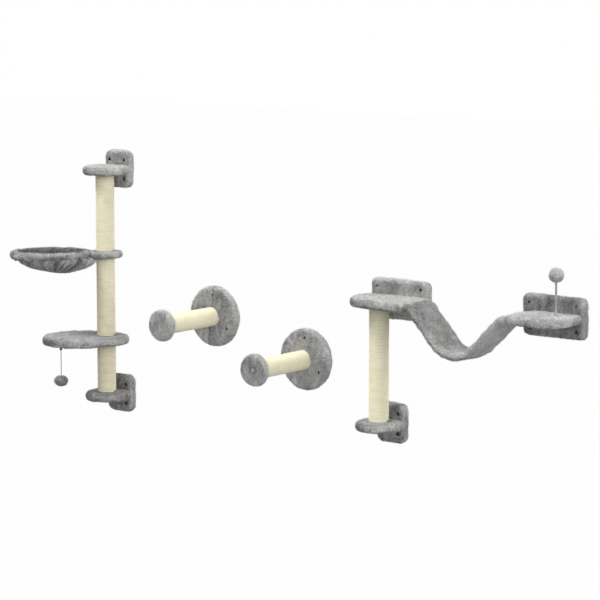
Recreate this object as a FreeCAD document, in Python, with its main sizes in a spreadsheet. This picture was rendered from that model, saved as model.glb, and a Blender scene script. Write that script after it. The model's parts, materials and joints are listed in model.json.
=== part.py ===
import FreeCAD, Part
import math
import os
import re
import Sketcher

# Cat climbing wall: a set of four modules that are screwed to a wall.
# The tower is a sisal post with a hoop basket, a platform and a hanging ball.
# Two steps are sisal pegs on round wall plates.
# The bridge is a post with a wide shelf, a hanging cloth and a second shelf with a toy on a spring wire.
# Frame: the wall is the plane y = 0, the set stands out towards -Y, +X runs right along the wall, +Z is up.
# The origin is the middle of the screw pattern of the tower's lower wall plate.

Vector = FreeCAD.Vector

# Driving dimensions, in millimetres and degrees.
SIZES = {
    # boards and the plush that wraps them
    "plate_board": 18,
    "shelf_board": 15,
    "plush_back": 6,
    "plush_front": 10,
    "plush_side": 8,
    "plush_round": 9,
    # wall plates
    "plate_height": 139,
    "small_plate_width": 120,
    "wide_plate_width": 242,
    "plate_corner": 18,
    "small_hole_side_inset": 25,
    "small_hole_end_inset": 34.5,
    "wide_hole_side_inset": 29,
    "wide_hole_end_inset": 27.5,
    "wall_hole_radius": 3,
    # posts and pegs
    "post_distance": 99,
    "post_radius": 35,
    "sisal_rope": 5,
    "tube_wall": 4,
    "plug_length": 25,
    # fasteners
    "bolt_radius": 4,
    "bolt_head_radius": 8,
    "bolt_head_height": 5,
    "bolt_access_radius": 9,
    "bolt_grip": 20,
    "screw_radius": 2.2,
    "screw_head_radius": 4.5,
    "screw_head_height": 3,
    "screw_length": 55,
    "small_screw_spacing": 60,
    "wide_screw_spacing": 60,
    # tower
    "tower_height": 845,
    "small_shelf_radius": 80,
    "small_shelf_neck": 114,
    "swivel_clearance": 0.3,
    # hoop basket
    "collar_level": 532,
    "collar_board": 14,
    "collar_plush": 5,
    "collar_board_radius": 54,
    "collar_radius": 64,
    "collar_round": 8,
    "basket_angle": 50,
    "hoop_twist": 3,
    "hoop_collar_gap": 4,
    "hoop_radius": 136,
    "hoop_rod_radius": 4,
    "hoop_bend": 15,
    "hoop_leg_offset": 18,
    "hoop_leg_start": 30,
    "rim_roll_radius": 13,
    "rim_roll_sweep": 316,
    "bag_depth": 73,
    "bag_cloth": 6,
    "bag_lean": 48,
    "bag_clearance": 1,
    # platform and hanging ball
    "platform_level": 212,
    "platform_angle": 46,
    "platform_reach": 106,
    "platform_inner_radius": 83,
    "platform_outer_radius": 130,
    "pendant_reach": 170,
    "pendant_side": 83,
    "eye_radius": 1.5,
    "eye_depth": 20,
    "eye_drop": 1,
    "knob_radius": 5,
    "string_radius": 1.3,
    "string_length": 92,
    "pendant_ball_radius": 25.5,
    "pendant_ball_half_height": 20,
    # steps
    "step_one_x": 460,
    "step_one_z": 333,
    "step_two_x": 885,
    "step_two_z": 218,
    "step_plate_radius": 110,
    "step_length": 320,
    "step_cap_radius": 56.5,
    "step_hole_inset": 32,
    "step_hole_count": 3,
    # bridge
    "bridge_x": 1267,
    "bridge_low_z": 36,
    "bridge_top_z": 469,
    "left_plate_shift": 35,
    "wide_shelf_radius": 100,
    "left_shelf_length": 158,
    "right_shelf_length": 190,
    "right_shelf_inset": 9,
    "right_shelf_corner": 80,
    # hanging cloth between the shelves
    "cloth_gap": 425,
    "cloth_sag": 149,
    "cloth_thickness": 26,
    "cloth_round": 11,
    "cloth_wall_gap": 4,
    "cloth_front_inset": 7,
    "cloth_bend": 100,
    # toy on a spring wire
    "toy_side": 49,
    "toy_distance": 92,
    "toy_foot_radius": 6,
    "toy_hole_radius": 9,
    "toy_stem_length": 104,
    "toy_wire_radius": 1.2,
    "toy_sleeve_radius": 4,
    "toy_ball_radius": 24.5,
    # how far a cutting shape reaches past what it cuts
    "overrun": 20,
}

# Bag sections from the mouth down: share of the depth, of the mouth's radius and of the lean to the post.
BAG_SHARES = (
    (0.0, 1.0, 0.0),
    (0.3, 0.925, 0.28),
    (0.52, 0.83, 0.45),
    (0.72, 0.67, 0.60),
    (0.88, 0.42, 0.75),
    (1.0, 0.14, 1.0),
)
# Corners of the hanging cloth's middle line: share of the gap and share of the sag.
CLOTH_SHARES = ((0.0, 0.0), (0.047, 0.0), (0.376, 1.0), (0.58, 0.92), (0.8, 0.46), (0.89, 0.0), (1.0, 0.0))

SHELF = "(shelf_board + 2 * plush_side)"
BOARD_FACE = "(plush_back + plate_board)"
PLATE = "(plush_back + plate_board + plush_front)"
TUBE_RADIUS = "(post_radius - sisal_rope)"
BORE_RADIUS = "(post_radius - sisal_rope - tube_wall)"
COLLAR = "(collar_board + 2 * collar_plush)"
HOOP_REACH = "(collar_radius + hoop_collar_gap + hoop_radius)"
RIGHT_SHELF_X = "(bridge_x + left_shelf_length + cloth_gap)"
RIGHT_PLATE_X = f"({RIGHT_SHELF_X} + right_shelf_length + right_shelf_inset - wide_plate_width / 2)"
TOY_X = f"({RIGHT_PLATE_X} + toy_side)"
# Points closer than this are one point.
SAME_PLACE = 1e-4
# Turn about X that points a bar along each direction, and the direction's sign.
ALONG = {"+Z": (0, 1), "-Z": (180, -1), "-Y": (90, -1), "+Y": (-90, 1)}

doc = FreeCAD.newDocument("cat_climbing_wall")
sheet = doc.addObject("Spreadsheet::Sheet", "Sizes")
for row, (alias, number) in enumerate(SIZES.items(), start=1):
    sheet.set(f"A{row}", alias)
    sheet.set(f"B{row}", str(number))
    sheet.setAlias(f"B{row}", alias)
doc.recompute()

# Finished pieces by name, in the order in which they are made.
pieces = {}


def expression(text):
    """The sheet's own names in place of the plain words of a sum."""
    return re.sub(r"[a-z][a-z_]+", lambda word: "Sizes." + word[0] if word[0] in SIZES else word[0], text)


def value(text):
    """What a sum of sizes comes to."""
    return float(sheet.evalExpression(expression(text)))


def bind(thing, **sums):
    """Binds properties of a document object to sums of sizes."""
    for name, text in sums.items():
        thing.setExpression(name, expression(text))
    return thing


def place(thing, x="0", y="0", z="0", axis=Vector(0, 0, 1), angle=0):
    """Puts an object at a place given by sums of sizes, turned about an axis through that place."""
    thing.Placement = FreeCAD.Placement(Vector(), FreeCAD.Rotation(axis, angle))
    for name, text in zip("xyz", (x, y, z)):
        thing.setExpression(f"Placement.Base.{name}", expression(text))
    return thing


def keep(name, thing):
    """Labels a finished piece, which also names its file."""
    thing.Label = name
    pieces[name] = thing
    return thing


def new_body(name, x="0", y="0", z="0", angle=0):
    """A part design body at a place."""
    return place(doc.addObject("PartDesign::Body", name), x, y, z, angle=angle)


def new_sketch(body, role, offset="0"):
    """A sketch on one of the body's own planes, moved along the plane's normal."""
    plane = next(feature for feature in body.Origin.OriginFeatures if feature.Role == role)
    sketch = body.newObject("Sketcher::SketchObject", body.Name + "_sketch")
    sketch.AttachmentSupport = [(plane, "")]
    sketch.MapMode = "FlatFace"
    sketch.setExpression("AttachmentOffset.Base.z", expression(offset))
    return sketch


def fix(sketch, kind, text, *where):
    """Adds one dimension to a sketch and binds it to a sum of sizes."""
    number = sketch.addConstraint(Sketcher.Constraint(kind, *where, value(text)))
    sketch.setExpression(f"Constraints[{number}]", expression(text))


def outline(sketch, corners):
    """Closes a loop of lines and arcs, counterclockwise, through corners given as sums of sizes.

    A corner is (x, y), or (x, y, radius) where a bulging arc of less than a half circle leads to the next.
    """
    spots = [Vector(value(corner[0]), value(corner[1]), 0) for corner in corners]
    for index, corner in enumerate(corners):
        start = spots[index]
        end = spots[(index + 1) % len(spots)]
        if len(corner) == 2:
            sketch.addGeometry(Part.LineSegment(start, end))
            continue
        radius = value(corner[2])
        chord = end - start
        rise = math.sqrt(radius ** 2 - chord.Length ** 2 / 4)
        centre = (start + end) / 2 + Vector(-chord.y, chord.x, 0) * (rise / chord.Length)
        first = math.atan2(start.y - centre.y, start.x - centre.x)
        last = math.atan2(end.y - centre.y, end.x - centre.x)
        sketch.addGeometry(Part.ArcOfCircle(Part.Circle(centre, Vector(0, 0, 1), radius), first, last))
    for index, corner in enumerate(corners):
        sketch.addConstraint(Sketcher.Constraint("Coincident", index, 2, (index + 1) % len(corners), 1))
    for index, corner in enumerate(corners):
        fix(sketch, "DistanceX", corner[0], index, 1)
        fix(sketch, "DistanceY", corner[1], index, 1)
        if len(corner) == 3:
            fix(sketch, "Radius", corner[2], index)


def rounded_rectangle(sketch, width, height, corner):
    """A rectangle round the sketch's origin with arcs at its corners."""
    right = f"({width}) / 2"
    top = f"({height}) / 2"
    arc = f"({corner})"
    outline(sketch, (
        (f"-{right} + {arc}", f"-{top}"),
        (f"{right} - {arc}", f"-{top}", corner),
        (right, f"-{top} + {arc}"),
        (right, f"{top} - {arc}", corner),
        (f"{right} - {arc}", top),
        (f"-{right} + {arc}", top, corner),
        (f"-{right}", f"{top} - {arc}"),
        (f"-{right}", f"-{top} + {arc}", corner),
    ))


def necked_disc(sketch, radius, half_neck, back):
    """A disc about the post's axis whose sides run straight on to the wall plate."""
    reach = f"({radius})"
    side = f"({half_neck})"
    rise = f"(post_distance - ({back}))"
    lean = f"(atan({rise} / {side}) - acos({reach} / sqrt({side} ^ 2 + {rise} ^ 2)))"
    outline(sketch, (
        (side, f"-({back})"),
        (f"-{side}", f"-({back})"),
        (f"-{reach} * cos({lean})", f"-post_distance + {reach} * sin({lean})", radius),
        ("0", f"-post_distance - {reach}", radius),
        (f"{reach} * cos({lean})", f"-post_distance + {reach} * sin({lean})"),
    ))


def left_shelf_outline(sketch, radius, back, length):
    """A shelf with one round end about the post's axis and one square end."""
    reach = f"({radius})"
    half = f"sqrt({reach} ^ 2 - (post_distance - ({back})) ^ 2)"
    front = f"-post_distance - {reach}"
    outline(sketch, (
        (length, f"-({back})"),
        (f"-{half}", f"-({back})", radius),
        (f"-{reach}", "-post_distance", radius),
        ("0", front),
        (length, front),
    ))


def right_shelf_outline(sketch, inset, back):
    """A square-ended shelf with one large rounded front corner, measured from its plate's middle."""
    left = f"({RIGHT_SHELF_X} - {RIGHT_PLATE_X} + {inset})"
    right = f"({RIGHT_SHELF_X} - {RIGHT_PLATE_X} + right_shelf_length - {inset})"
    front = f"(-post_distance - wide_shelf_radius + {inset})"
    corner = f"(right_shelf_corner - {inset})"
    outline(sketch, (
        (left, f"-({back})"),
        (left, front),
        (f"{right} - {corner}", front, corner),
        (right, f"{front} + {corner}"),
        (right, f"-({back})"),
    ))


def platform_outline(sketch, inset):
    """An egg round the post's axis: a small circle, a large circle and their common tangents."""
    small = f"(platform_inner_radius - {inset})"
    large = f"(platform_outer_radius - {inset})"
    lean = f"asin(({large} - {small}) / platform_reach)"
    outline(sketch, (
        (f"-{small} * sin({lean})", f"{small} * cos({lean})", small),
        (f"-{small} * sin({lean})", f"-{small} * cos({lean})"),
        (f"platform_reach - {large} * sin({lean})", f"-{large} * cos({lean})", large),
        (f"platform_reach + {large}", "0", large),
        (f"platform_reach - {large} * sin({lean})", f"{large} * cos({lean})"),
    ))


def circle(sketch, radius, x="0", y="0"):
    """A circle at a place in a sketch."""
    spot = Vector(value(x), value(y), 0)
    number = sketch.addGeometry(Part.Circle(spot, Vector(0, 0, 1), value(radius)))
    fix(sketch, "DistanceX", x, number, 3)
    fix(sketch, "DistanceY", y, number, 3)
    fix(sketch, "Radius", radius, number)


def pad(body, sketch, length):
    """Thickens a sketch along its normal."""
    feature = body.newObject("PartDesign::Pad", body.Name + "_pad")
    feature.Profile = sketch
    bind(feature, Length=length)
    sketch.Visibility = False
    doc.recompute()


def drill(body, role, radius, spots):
    """Cuts round holes right through a body at places in one of its planes."""
    sketch = new_sketch(body, role)
    for x, y in spots:
        circle(sketch, radius, x, y)
    before = body.Shape.Volume
    feature = body.newObject("PartDesign::Pocket", body.Name + "_holes")
    feature.Profile = sketch
    feature.Type = "ThroughAll"
    feature.SideType = "Symmetric"
    doc.recompute()
    if body.Shape.Volume >= before:
        raise RuntimeError(f"{body.Name}: the holes cut nothing")


def soften(body, side, planes, radius, straight_back=None):
    """Rounds the rims that lie in the given planes, but not the edge along a straight back."""
    base = body.Tip
    levels = [value(plane) for plane in planes]
    names = []
    for number, edge in enumerate(base.Shape.Edges, start=1):
        box = edge.BoundBox
        low, high = (box.YMin, box.YMax) if side == "y" else (box.ZMin, box.ZMax)
        if not any(abs(low - level) < SAME_PLACE and abs(high - level) < SAME_PLACE for level in levels):
            continue
        if straight_back is not None and abs(box.YMin + value(straight_back)) < SAME_PLACE:
            continue
        names.append(f"Edge{number}")
    feature = body.newObject("PartDesign::Fillet", body.Name + "_soft_edge")
    feature.Base = (base, names)
    bind(feature, Radius=radius)
    doc.recompute()


def cut(name, base, *tools):
    """What is left of a base after tools are taken away from it one by one."""
    for tool in tools:
        feature = doc.addObject("Part::Cut", name)
        feature.Base = base
        feature.Tool = tool
        base = feature
    return base


def rod(name, radius, length, x, y, z, along):
    """A round bar that starts at a place and runs along a direction."""
    bar = doc.addObject("Part::Cylinder", name)
    bind(bar, Radius=radius, Height=length)
    return place(bar, x, y, z, Vector(1, 0, 0), ALONG[along][0])


def tube(name, outer, inner, length, x, y, z, along):
    """A round tube that starts at a place and runs along a direction."""
    return cut(name, rod(name, outer, length, x, y, z, along), rod(name, inner, length, x, y, z, along))


def fuse(name, first, second):
    """Two shapes made one."""
    feature = doc.addObject("Part::Fuse", name)
    feature.Base = first
    feature.Tool = second
    return feature


def group(name, members):
    """Separate alike solids in one node."""
    feature = doc.addObject("Part::Compound", name)
    feature.Links = members
    return keep(name, feature)


bolts = []
studs = []
plugs = []
screws = []


def bolt(x, y, z, along, length):
    """A flat-headed bolt whose head seats at a place and whose shank runs along a direction."""
    sign = ALONG[along][1]
    spot = {"x": x, "y": y, "z": z}
    spot[along[1].lower()] += f" - {sign} * bolt_head_height"
    head = rod("bolt_head", "bolt_head_radius", "bolt_head_height", *spot.values(), along)
    shank = rod("bolt_shank", "bolt_radius", length, x, y, z, along)
    bolts.append(fuse("bolt", head, shank))


def screw(x, z):
    """A countersunk screw driven through a wall plate's board into the end of a shelf board."""
    head = doc.addObject("Part::Cone", "screw_head")
    bind(head, Radius1="screw_head_radius", Radius2="screw_radius", Height="screw_head_height")
    place(head, x, "-plush_back", z, Vector(1, 0, 0), ALONG["-Y"][0])
    start = "-plush_back - screw_head_height"
    shank = rod("screw_shank", "screw_radius", "screw_length - screw_head_height", x, start, z, "-Y")
    screws.append(fuse("screw", head, shank))


def post(name, x, y, z, along, length):
    """A cardboard tube wound with sisal, with a bored wooden plug in each end."""
    sign = ALONG[along][1]
    keep(name + "_tube", tube(name + "_tube", TUBE_RADIUS, BORE_RADIUS, length, x, y, z, along))
    keep(name + "_sisal", tube(name + "_sisal", "post_radius", TUBE_RADIUS, length, x, y, z, along))
    for start in ("0", f"({length}) - plug_length"):
        spot = {"x": x, "y": y, "z": z}
        spot[along[1].lower()] += f" + {sign} * ({start})"
        plugs.append(tube("plug", BORE_RADIUS, "bolt_radius", "plug_length", *spot.values(), along))


def wall_plate(name, width, x, z, side_inset, end_inset):
    """The bare board of a wall plate and the plush form that is later hollowed for it."""
    across = f"({width} / 2 - {side_inset})"
    up = f"(plate_height / 2 - {end_inset})"
    spots = [(f"{right} * {across}", f"{top} * {up}") for right in (-1, 1) for top in (-1, 1)]
    blank = new_body(name + "_blank", x, "0", z)
    sketch = new_sketch(blank, "XZ_Plane", "plush_back")
    inner_corner = "plate_corner - plush_side"
    rounded_rectangle(sketch, f"{width} - 2 * plush_side", "plate_height - 2 * plush_side", inner_corner)
    pad(blank, sketch, "plate_board")
    drill(blank, "XZ_Plane", "wall_hole_radius", spots)
    form = new_body(name + "_form", x, "0", z)
    sketch = new_sketch(form, "XZ_Plane")
    rounded_rectangle(sketch, width, "plate_height", "plate_corner")
    pad(form, sketch, PLATE)
    soften(form, "y", ("0", f"-{PLATE}"), "plush_round")
    drill(form, "XZ_Plane", "wall_hole_radius", spots)
    return blank, form


def shelf_pair(name, x, z, draw_board, draw_form, bolt_hole=True):
    """The bare board of a shelf and the plush form that is later hollowed for it."""
    blank = new_body(name + "_blank", x, "0", z)
    sketch = new_sketch(blank, "XY_Plane", "-shelf_board / 2")
    draw_board(sketch)
    pad(blank, sketch, "shelf_board")
    form = new_body(name + "_form", x, "0", z)
    sketch = new_sketch(form, "XY_Plane", f"-{SHELF} / 2")
    draw_form(sketch)
    pad(form, sketch, SHELF)
    soften(form, "z", (f"-{SHELF} / 2", f"{SHELF} / 2"), "plush_round", straight_back=PLATE)
    if bolt_hole:
        drill(blank, "XY_Plane", "bolt_radius", [("0", "-post_distance")])
        drill(form, "XY_Plane", "bolt_access_radius", [("0", "-post_distance")])
    return blank, form


def bracket(plate, shelf, screw_spots, z):
    """Joins a wall plate and a shelf: the shelf board reaches through the plate's plush to its board."""
    driven = []
    for x in screw_spots:
        screw(x, z)
        driven.append(screws[-1])
    plate_name, plate_blank, plate_form = plate
    shelf_name, shelf_blank, shelf_form = shelf
    keep(plate_name + "_board", cut(plate_name + "_board", plate_blank, *driven))
    keep(plate_name + "_cover", cut(plate_name + "_cover", plate_form, plate_blank, shelf_blank))
    keep(shelf_name + "_board", cut(shelf_name + "_board", shelf_blank, *driven))
    return cut(shelf_name + "_cover", shelf_form, shelf_blank)


def small_bracket(name, x, z, bolt_along):
    """A small wall plate with a round shelf and the bolt that holds a post's end."""
    plate = name + "_plate", *wall_plate(
        name + "_plate", "small_plate_width", x, z, "small_hole_side_inset", "small_hole_end_inset")
    shelf = name + "_shelf", *shelf_pair(
        name + "_shelf", x, z,
        lambda sketch: necked_disc(
            sketch, "small_shelf_radius - plush_side", "small_shelf_neck / 2 - plush_side", BOARD_FACE),
        lambda sketch: necked_disc(sketch, "small_shelf_radius", "small_shelf_neck / 2", PLATE))
    spots = [f"{x} + {side} * small_screw_spacing / 2" for side in (-1, 1)]
    keep(name + "_shelf_cover", bracket(plate, shelf, spots, z))
    sign = ALONG[bolt_along][1]
    seat = f"{z} - {sign} * shelf_board / 2"
    bolt(x, "-post_distance", seat, bolt_along, "shelf_board + plush_side + bolt_grip")


def tower():
    """The tall post between two small brackets, in three sections."""
    small_bracket("tower_low", "0", "0", "+Z")
    small_bracket("tower_top", "0", "tower_height", "-Z")
    stops = (
        f"{SHELF} / 2",
        f"platform_level - {SHELF} / 2 - swivel_clearance",
        f"platform_level + {SHELF} / 2 + swivel_clearance",
        f"collar_level - {COLLAR} / 2 - swivel_clearance",
        f"collar_level + {COLLAR} / 2 + swivel_clearance",
        f"tower_height - {SHELF} / 2",
    )
    for name, start, end in zip(("lower", "middle", "upper"), stops[::2], stops[1::2]):
        post(f"tower_{name}", "0", "-post_distance", start, "+Z", f"{end} - ({start})")
    for below, above in ((stops[1], stops[2]), (stops[3], stops[4])):
        start = f"{below} - bolt_grip"
        length = f"{above} - ({below}) + 2 * bolt_grip"
        studs.append(rod("stud", "bolt_radius", length, "0", "-post_distance", start, "+Z"))


def hoop_path():
    """The hoop's middle line in its own plane: a leg, a bend, the ring, a bend and a leg."""
    offset = value("hoop_leg_offset")
    bend = value("hoop_bend")
    ring = value("hoop_radius")
    centre = Vector(value(HOOP_REACH), 0, 0)
    bend_side = offset + bend
    bend_back = math.sqrt((ring + bend) ** 2 - bend_side ** 2)
    edges = []
    for side in (1, -1):
        turn = Vector(centre.x - bend_back, side * bend_side, 0)
        towards = (turn - centre).normalize()
        joint = centre + towards * ring
        leg_end = Vector(turn.x, side * offset, 0)
        leg_start = Vector(value("hoop_leg_start"), side * offset, 0)
        middle = ((joint - turn).normalize() + Vector(0, -side, 0)).normalize()
        edges.append((leg_start, leg_end, turn + middle * bend, joint))
    (start, leg, knee, joint), (far_start, far_leg, far_knee, far_joint) = edges
    far_point = centre + Vector(ring, 0, 0)
    return Part.Wire([
        Part.LineSegment(start, leg).toShape(),
        Part.Arc(leg, knee, joint).toShape(),
        Part.Arc(joint, far_point, far_joint).toShape(),
        Part.Arc(far_joint, far_knee, far_leg).toShape(),
        Part.LineSegment(far_leg, far_start).toShape(),
    ])


def swept(path, section, area):
    """A solid of one section along a path, compared with its area times the path's length."""
    shape = path.makePipeShell([section], True, False)
    if shape.ShapeType == "Compound":
        shape = shape.Solids[0]
    share = shape.Volume / (area * path.Length)
    print(f"swept volume over section times length: {share:.4f}, length {path.Length:.1f} mm")
    return shape


def bag_form(shrink, top):
    """A solid bowl that leans to the post, smaller all round by a wall and reaching above the mouth."""
    mouth = value("hoop_radius") - shrink
    depth = value("bag_depth") - shrink
    wires = []
    for drop_share, radius_share, lean_share in BAG_SHARES:
        x = value(HOOP_REACH) - lean_share * value("bag_lean")
        spot = Vector(x, 0, -drop_share * depth)
        wires.append(Part.Wire([Part.makeCircle(radius_share * mouth, spot)]))
    bowl = Part.makeLoft(wires, True)
    if not top:
        return bowl
    return bowl.fuse(Part.makeCylinder(mouth, top, Vector(value(HOOP_REACH), 0, 0)))


def basket():
    """The collar on the post, the steel hoop in it and the plush bag that hangs from the hoop."""
    turn = 270 - value("basket_angle")
    about = FreeCAD.Rotation(Vector(0, 0, 1), turn)
    spot = Vector(0, -value("post_distance"), value("collar_level"))
    blank = new_body("collar_blank", "0", "-post_distance", "collar_level", turn)
    sketch = new_sketch(blank, "XY_Plane", "-collar_board / 2")
    circle(sketch, "collar_board_radius")
    pad(blank, sketch, "collar_board")
    drill(blank, "XY_Plane", "bolt_radius + swivel_clearance", [("0", "0")])
    form = new_body("collar_form", "0", "-post_distance", "collar_level", turn)
    sketch = new_sketch(form, "XY_Plane", f"-{COLLAR} / 2")
    circle(sketch, "collar_radius")
    pad(form, sketch, COLLAR)
    soften(form, "z", (f"-{COLLAR} / 2", f"{COLLAR} / 2"), "collar_round")
    drill(form, "XY_Plane", "bolt_access_radius", [("0", "0")])

    hung = FreeCAD.Placement(spot, about.multiply(FreeCAD.Rotation(Vector(1, 0, 0), value("hoop_twist"))))
    path = hoop_path()
    thickness = value("hoop_rod_radius")
    start = path.OrderedVertexes[0].Point
    section = Part.Wire([Part.makeCircle(thickness, start, Vector(1, 0, 0))])
    hoop = doc.addObject("Part::Feature", "basket_hoop")
    hoop.Shape = swept(path, section, math.pi * thickness ** 2)
    hoop.Placement = hung
    keep("basket_collar_board", cut("basket_collar_board", blank, hoop))
    keep("basket_collar_cover", cut("basket_collar_cover", form, blank, hoop))
    keep("basket_hoop", hoop)

    roll = doc.addObject("Part::Torus", "rim_roll")
    bind(roll, Radius1="hoop_radius", Radius2="rim_roll_radius", Angle3="rim_roll_sweep")
    start_angle = -value("rim_roll_sweep") / 2
    roll_place = FreeCAD.Placement(
        Vector(value(HOOP_REACH), 0, 0), FreeCAD.Rotation(Vector(0, 0, 1), start_angle))
    roll.Placement = hung.multiply(roll_place)
    bowl = doc.addObject("Part::Feature", "bag_bowl")
    bowl.Shape = bag_form(0, 0)
    bowl.Placement = hung
    hollow = doc.addObject("Part::Feature", "bag_hollow")
    hollow.Shape = bag_form(value("bag_cloth"), value("overrun"))
    hollow.Placement = hung
    wall = cut("bag_wall", bowl, hollow)
    room = rod("collar_room", "collar_radius + bag_clearance", f"{COLLAR} + 2 * overrun",
               "0", "-post_distance", f"collar_level - {COLLAR} / 2 - bag_clearance", "+Z")
    keep("basket_bag", cut("basket_bag", fuse("bag_and_roll", wall, roll), hoop, room))


def platform():
    """The egg-shaped seat on the post and the ball that hangs from it."""
    turn = 270 - value("platform_angle")
    blank = new_body("platform_blank", "0", "-post_distance", "platform_level", turn)
    sketch = new_sketch(blank, "XY_Plane", "-shelf_board / 2")
    platform_outline(sketch, "plush_side")
    pad(blank, sketch, "shelf_board")
    drill(blank, "XY_Plane", "bolt_radius + swivel_clearance", [("0", "0")])
    form = new_body("platform_form", "0", "-post_distance", "platform_level", turn)
    sketch = new_sketch(form, "XY_Plane", f"-{SHELF} / 2")
    platform_outline(sketch, "0")
    pad(form, sketch, SHELF)
    soften(form, "z", (f"-{SHELF} / 2", f"{SHELF} / 2"), "plush_round")
    drill(form, "XY_Plane", "bolt_access_radius", [("0", "0")])

    east = f"(pendant_reach * cos({turn}) - pendant_side * sin({turn}))"
    north = f"(-post_distance + pendant_reach * sin({turn}) + pendant_side * cos({turn}))"
    under = f"(platform_level - {SHELF} / 2)"
    pivot = f"({under} - eye_drop - knob_radius - swivel_clearance)"
    eye = rod("pendant_eye", "eye_radius", "eye_depth + eye_drop", east, north, f"{under} - eye_drop", "+Z")
    keep("platform_board", cut("platform_board", blank, eye))
    keep("platform_cover", cut("platform_cover", form, blank, eye))
    keep("pendant_eye", eye)
    knob = doc.addObject("Part::Sphere", "pendant_knob")
    bind(knob, Radius="knob_radius")
    keep("pendant_knob", place(knob, east, north, pivot))
    string_top = f"({pivot} - knob_radius - swivel_clearance)"
    string = rod("pendant_string", "string_radius", "string_length", east, north, string_top, "-Z")
    keep("pendant_string", string)
    ball = doc.addObject("Part::Ellipsoid", "pendant_ball")
    bind(ball, Radius1="pendant_ball_half_height", Radius2="pendant_ball_radius")
    place(ball, east, north, f"{string_top} - string_length - pendant_ball_half_height")
    keep("pendant_ball", ball)


def step(name, x, z):
    """A sisal peg with a plush cap, bolted to a round wall plate."""
    depth = "(plush_back + shelf_board + plush_front)"
    cap = "(plush_back + shelf_board + plush_side)"
    root = f"(step_length - {cap})"
    spots = []
    for number in range(int(value("step_hole_count"))):
        angle = f"(90 + {number} * 360 / step_hole_count)"
        reach = "(step_plate_radius - step_hole_inset)"
        spots.append((f"{reach} * cos({angle})", f"{reach} * sin({angle})"))
    stages = (
        ("plate", "step_plate_radius", "0", "plush_back", depth, spots),
        ("cap", "step_cap_radius", root, f"{root} + plush_back", cap, []),
    )
    for part, radius, start, board_start, thickness, holes in stages:
        blank = new_body(f"{name}_{part}_blank", x, "0", z)
        sketch = new_sketch(blank, "XZ_Plane", board_start)
        circle(sketch, f"{radius} - plush_side")
        pad(blank, sketch, "shelf_board")
        drill(blank, "XZ_Plane", "bolt_radius", [("0", "0")])
        form = new_body(f"{name}_{part}_form", x, "0", z)
        sketch = new_sketch(form, "XZ_Plane", start)
        circle(sketch, radius)
        pad(form, sketch, thickness)
        soften(form, "y", (f"-({start})", f"-({start}) - {thickness}"), "plush_round")
        drill(form, "XZ_Plane", "bolt_access_radius", [("0", "0")])
        if holes:
            drill(blank, "XZ_Plane", "wall_hole_radius", holes)
            drill(form, "XZ_Plane", "wall_hole_radius", holes)
        keep(f"{name}_{part}_board", blank)
        keep(f"{name}_{part}_cover", cut(f"{name}_{part}_cover", form, blank))
    post(name, x, f"-{depth}", z, "-Y", f"{root} - {depth}")
    bolt(x, "-plush_back", z, "-Y", "shelf_board + plush_front + bolt_grip")
    bolt(x, "-step_length + plush_side", z, "+Y", "shelf_board + plush_back + bolt_grip")


def bridge():
    """The short post, its two brackets, the far shelf and the cloth that hangs between the shelves."""
    small_bracket("bridge_low", "bridge_x", "bridge_low_z", "+Z")
    length = f"bridge_top_z - bridge_low_z - {SHELF}"
    post("bridge", "bridge_x", "-post_distance", f"bridge_low_z + {SHELF} / 2", "+Z", length)

    middle = "(bridge_x + left_plate_shift)"
    plate = "bridge_left_plate", *wall_plate(
        "bridge_left_plate", "wide_plate_width", middle, "bridge_top_z",
        "wide_hole_side_inset", "wide_hole_end_inset")
    shelf = "bridge_left_shelf", *shelf_pair(
        "bridge_left_shelf", "bridge_x", "bridge_top_z",
        lambda sketch: left_shelf_outline(
            sketch, "wide_shelf_radius - plush_side", BOARD_FACE, "left_shelf_length - plush_side"),
        lambda sketch: left_shelf_outline(sketch, "wide_shelf_radius", PLATE, "left_shelf_length"))
    spots = [f"{middle} + {side} * wide_screw_spacing" for side in (-1, 0, 1)]
    keep("bridge_left_shelf_cover", bracket(plate, shelf, spots, "bridge_top_z"))
    bolt("bridge_x", "-post_distance", "bridge_top_z + shelf_board / 2", "-Z",
         "shelf_board + plush_side + bolt_grip")

    plate = "bridge_right_plate", *wall_plate(
        "bridge_right_plate", "wide_plate_width", RIGHT_PLATE_X, "bridge_top_z",
        "wide_hole_side_inset", "wide_hole_end_inset")
    shelf = "bridge_right_shelf", *shelf_pair(
        "bridge_right_shelf", RIGHT_PLATE_X, "bridge_top_z",
        lambda sketch: right_shelf_outline(sketch, "plush_side", BOARD_FACE),
        lambda sketch: right_shelf_outline(sketch, "0", PLATE), bolt_hole=False)
    spots = [f"{RIGHT_PLATE_X} + {side} * wide_screw_spacing" for side in (-1, 0, 1)]
    cover = bracket(plate, shelf, spots, "bridge_top_z")
    hole = rod("toy_hole", "toy_hole_radius", "plush_side + overrun", TOY_X, "-toy_distance",
               "bridge_top_z + shelf_board / 2", "+Z")
    keep("bridge_right_shelf_cover", cut("bridge_right_shelf_cover", cover, hole))


def rounded_path(corners, radius):
    """Straight runs through corners, joined by tangent arcs that no run is too short for."""
    edges = []
    last = corners[0]
    for before, corner, after in zip(corners, corners[1:], corners[2:]):
        back = (before - corner).normalize()
        ahead = (after - corner).normalize()
        half = back.getAngle(ahead) / 2
        room = min((before - corner).Length, (after - corner).Length) / 2
        reach = min(radius / math.tan(half), room)
        bulge = reach * math.tan(half)
        towards = (back + ahead).normalize()
        top = corner + towards * (bulge / math.sin(half) - bulge)
        start = corner + back * reach
        end = corner + ahead * reach
        if (start - last).Length > SAME_PLACE:
            edges.append(Part.LineSegment(last, start).toShape())
        edges.append(Part.Arc(start, top, end).toShape())
        last = end
    edges.append(Part.LineSegment(last, corners[-1]).toShape())
    return Part.Wire(edges)


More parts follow.
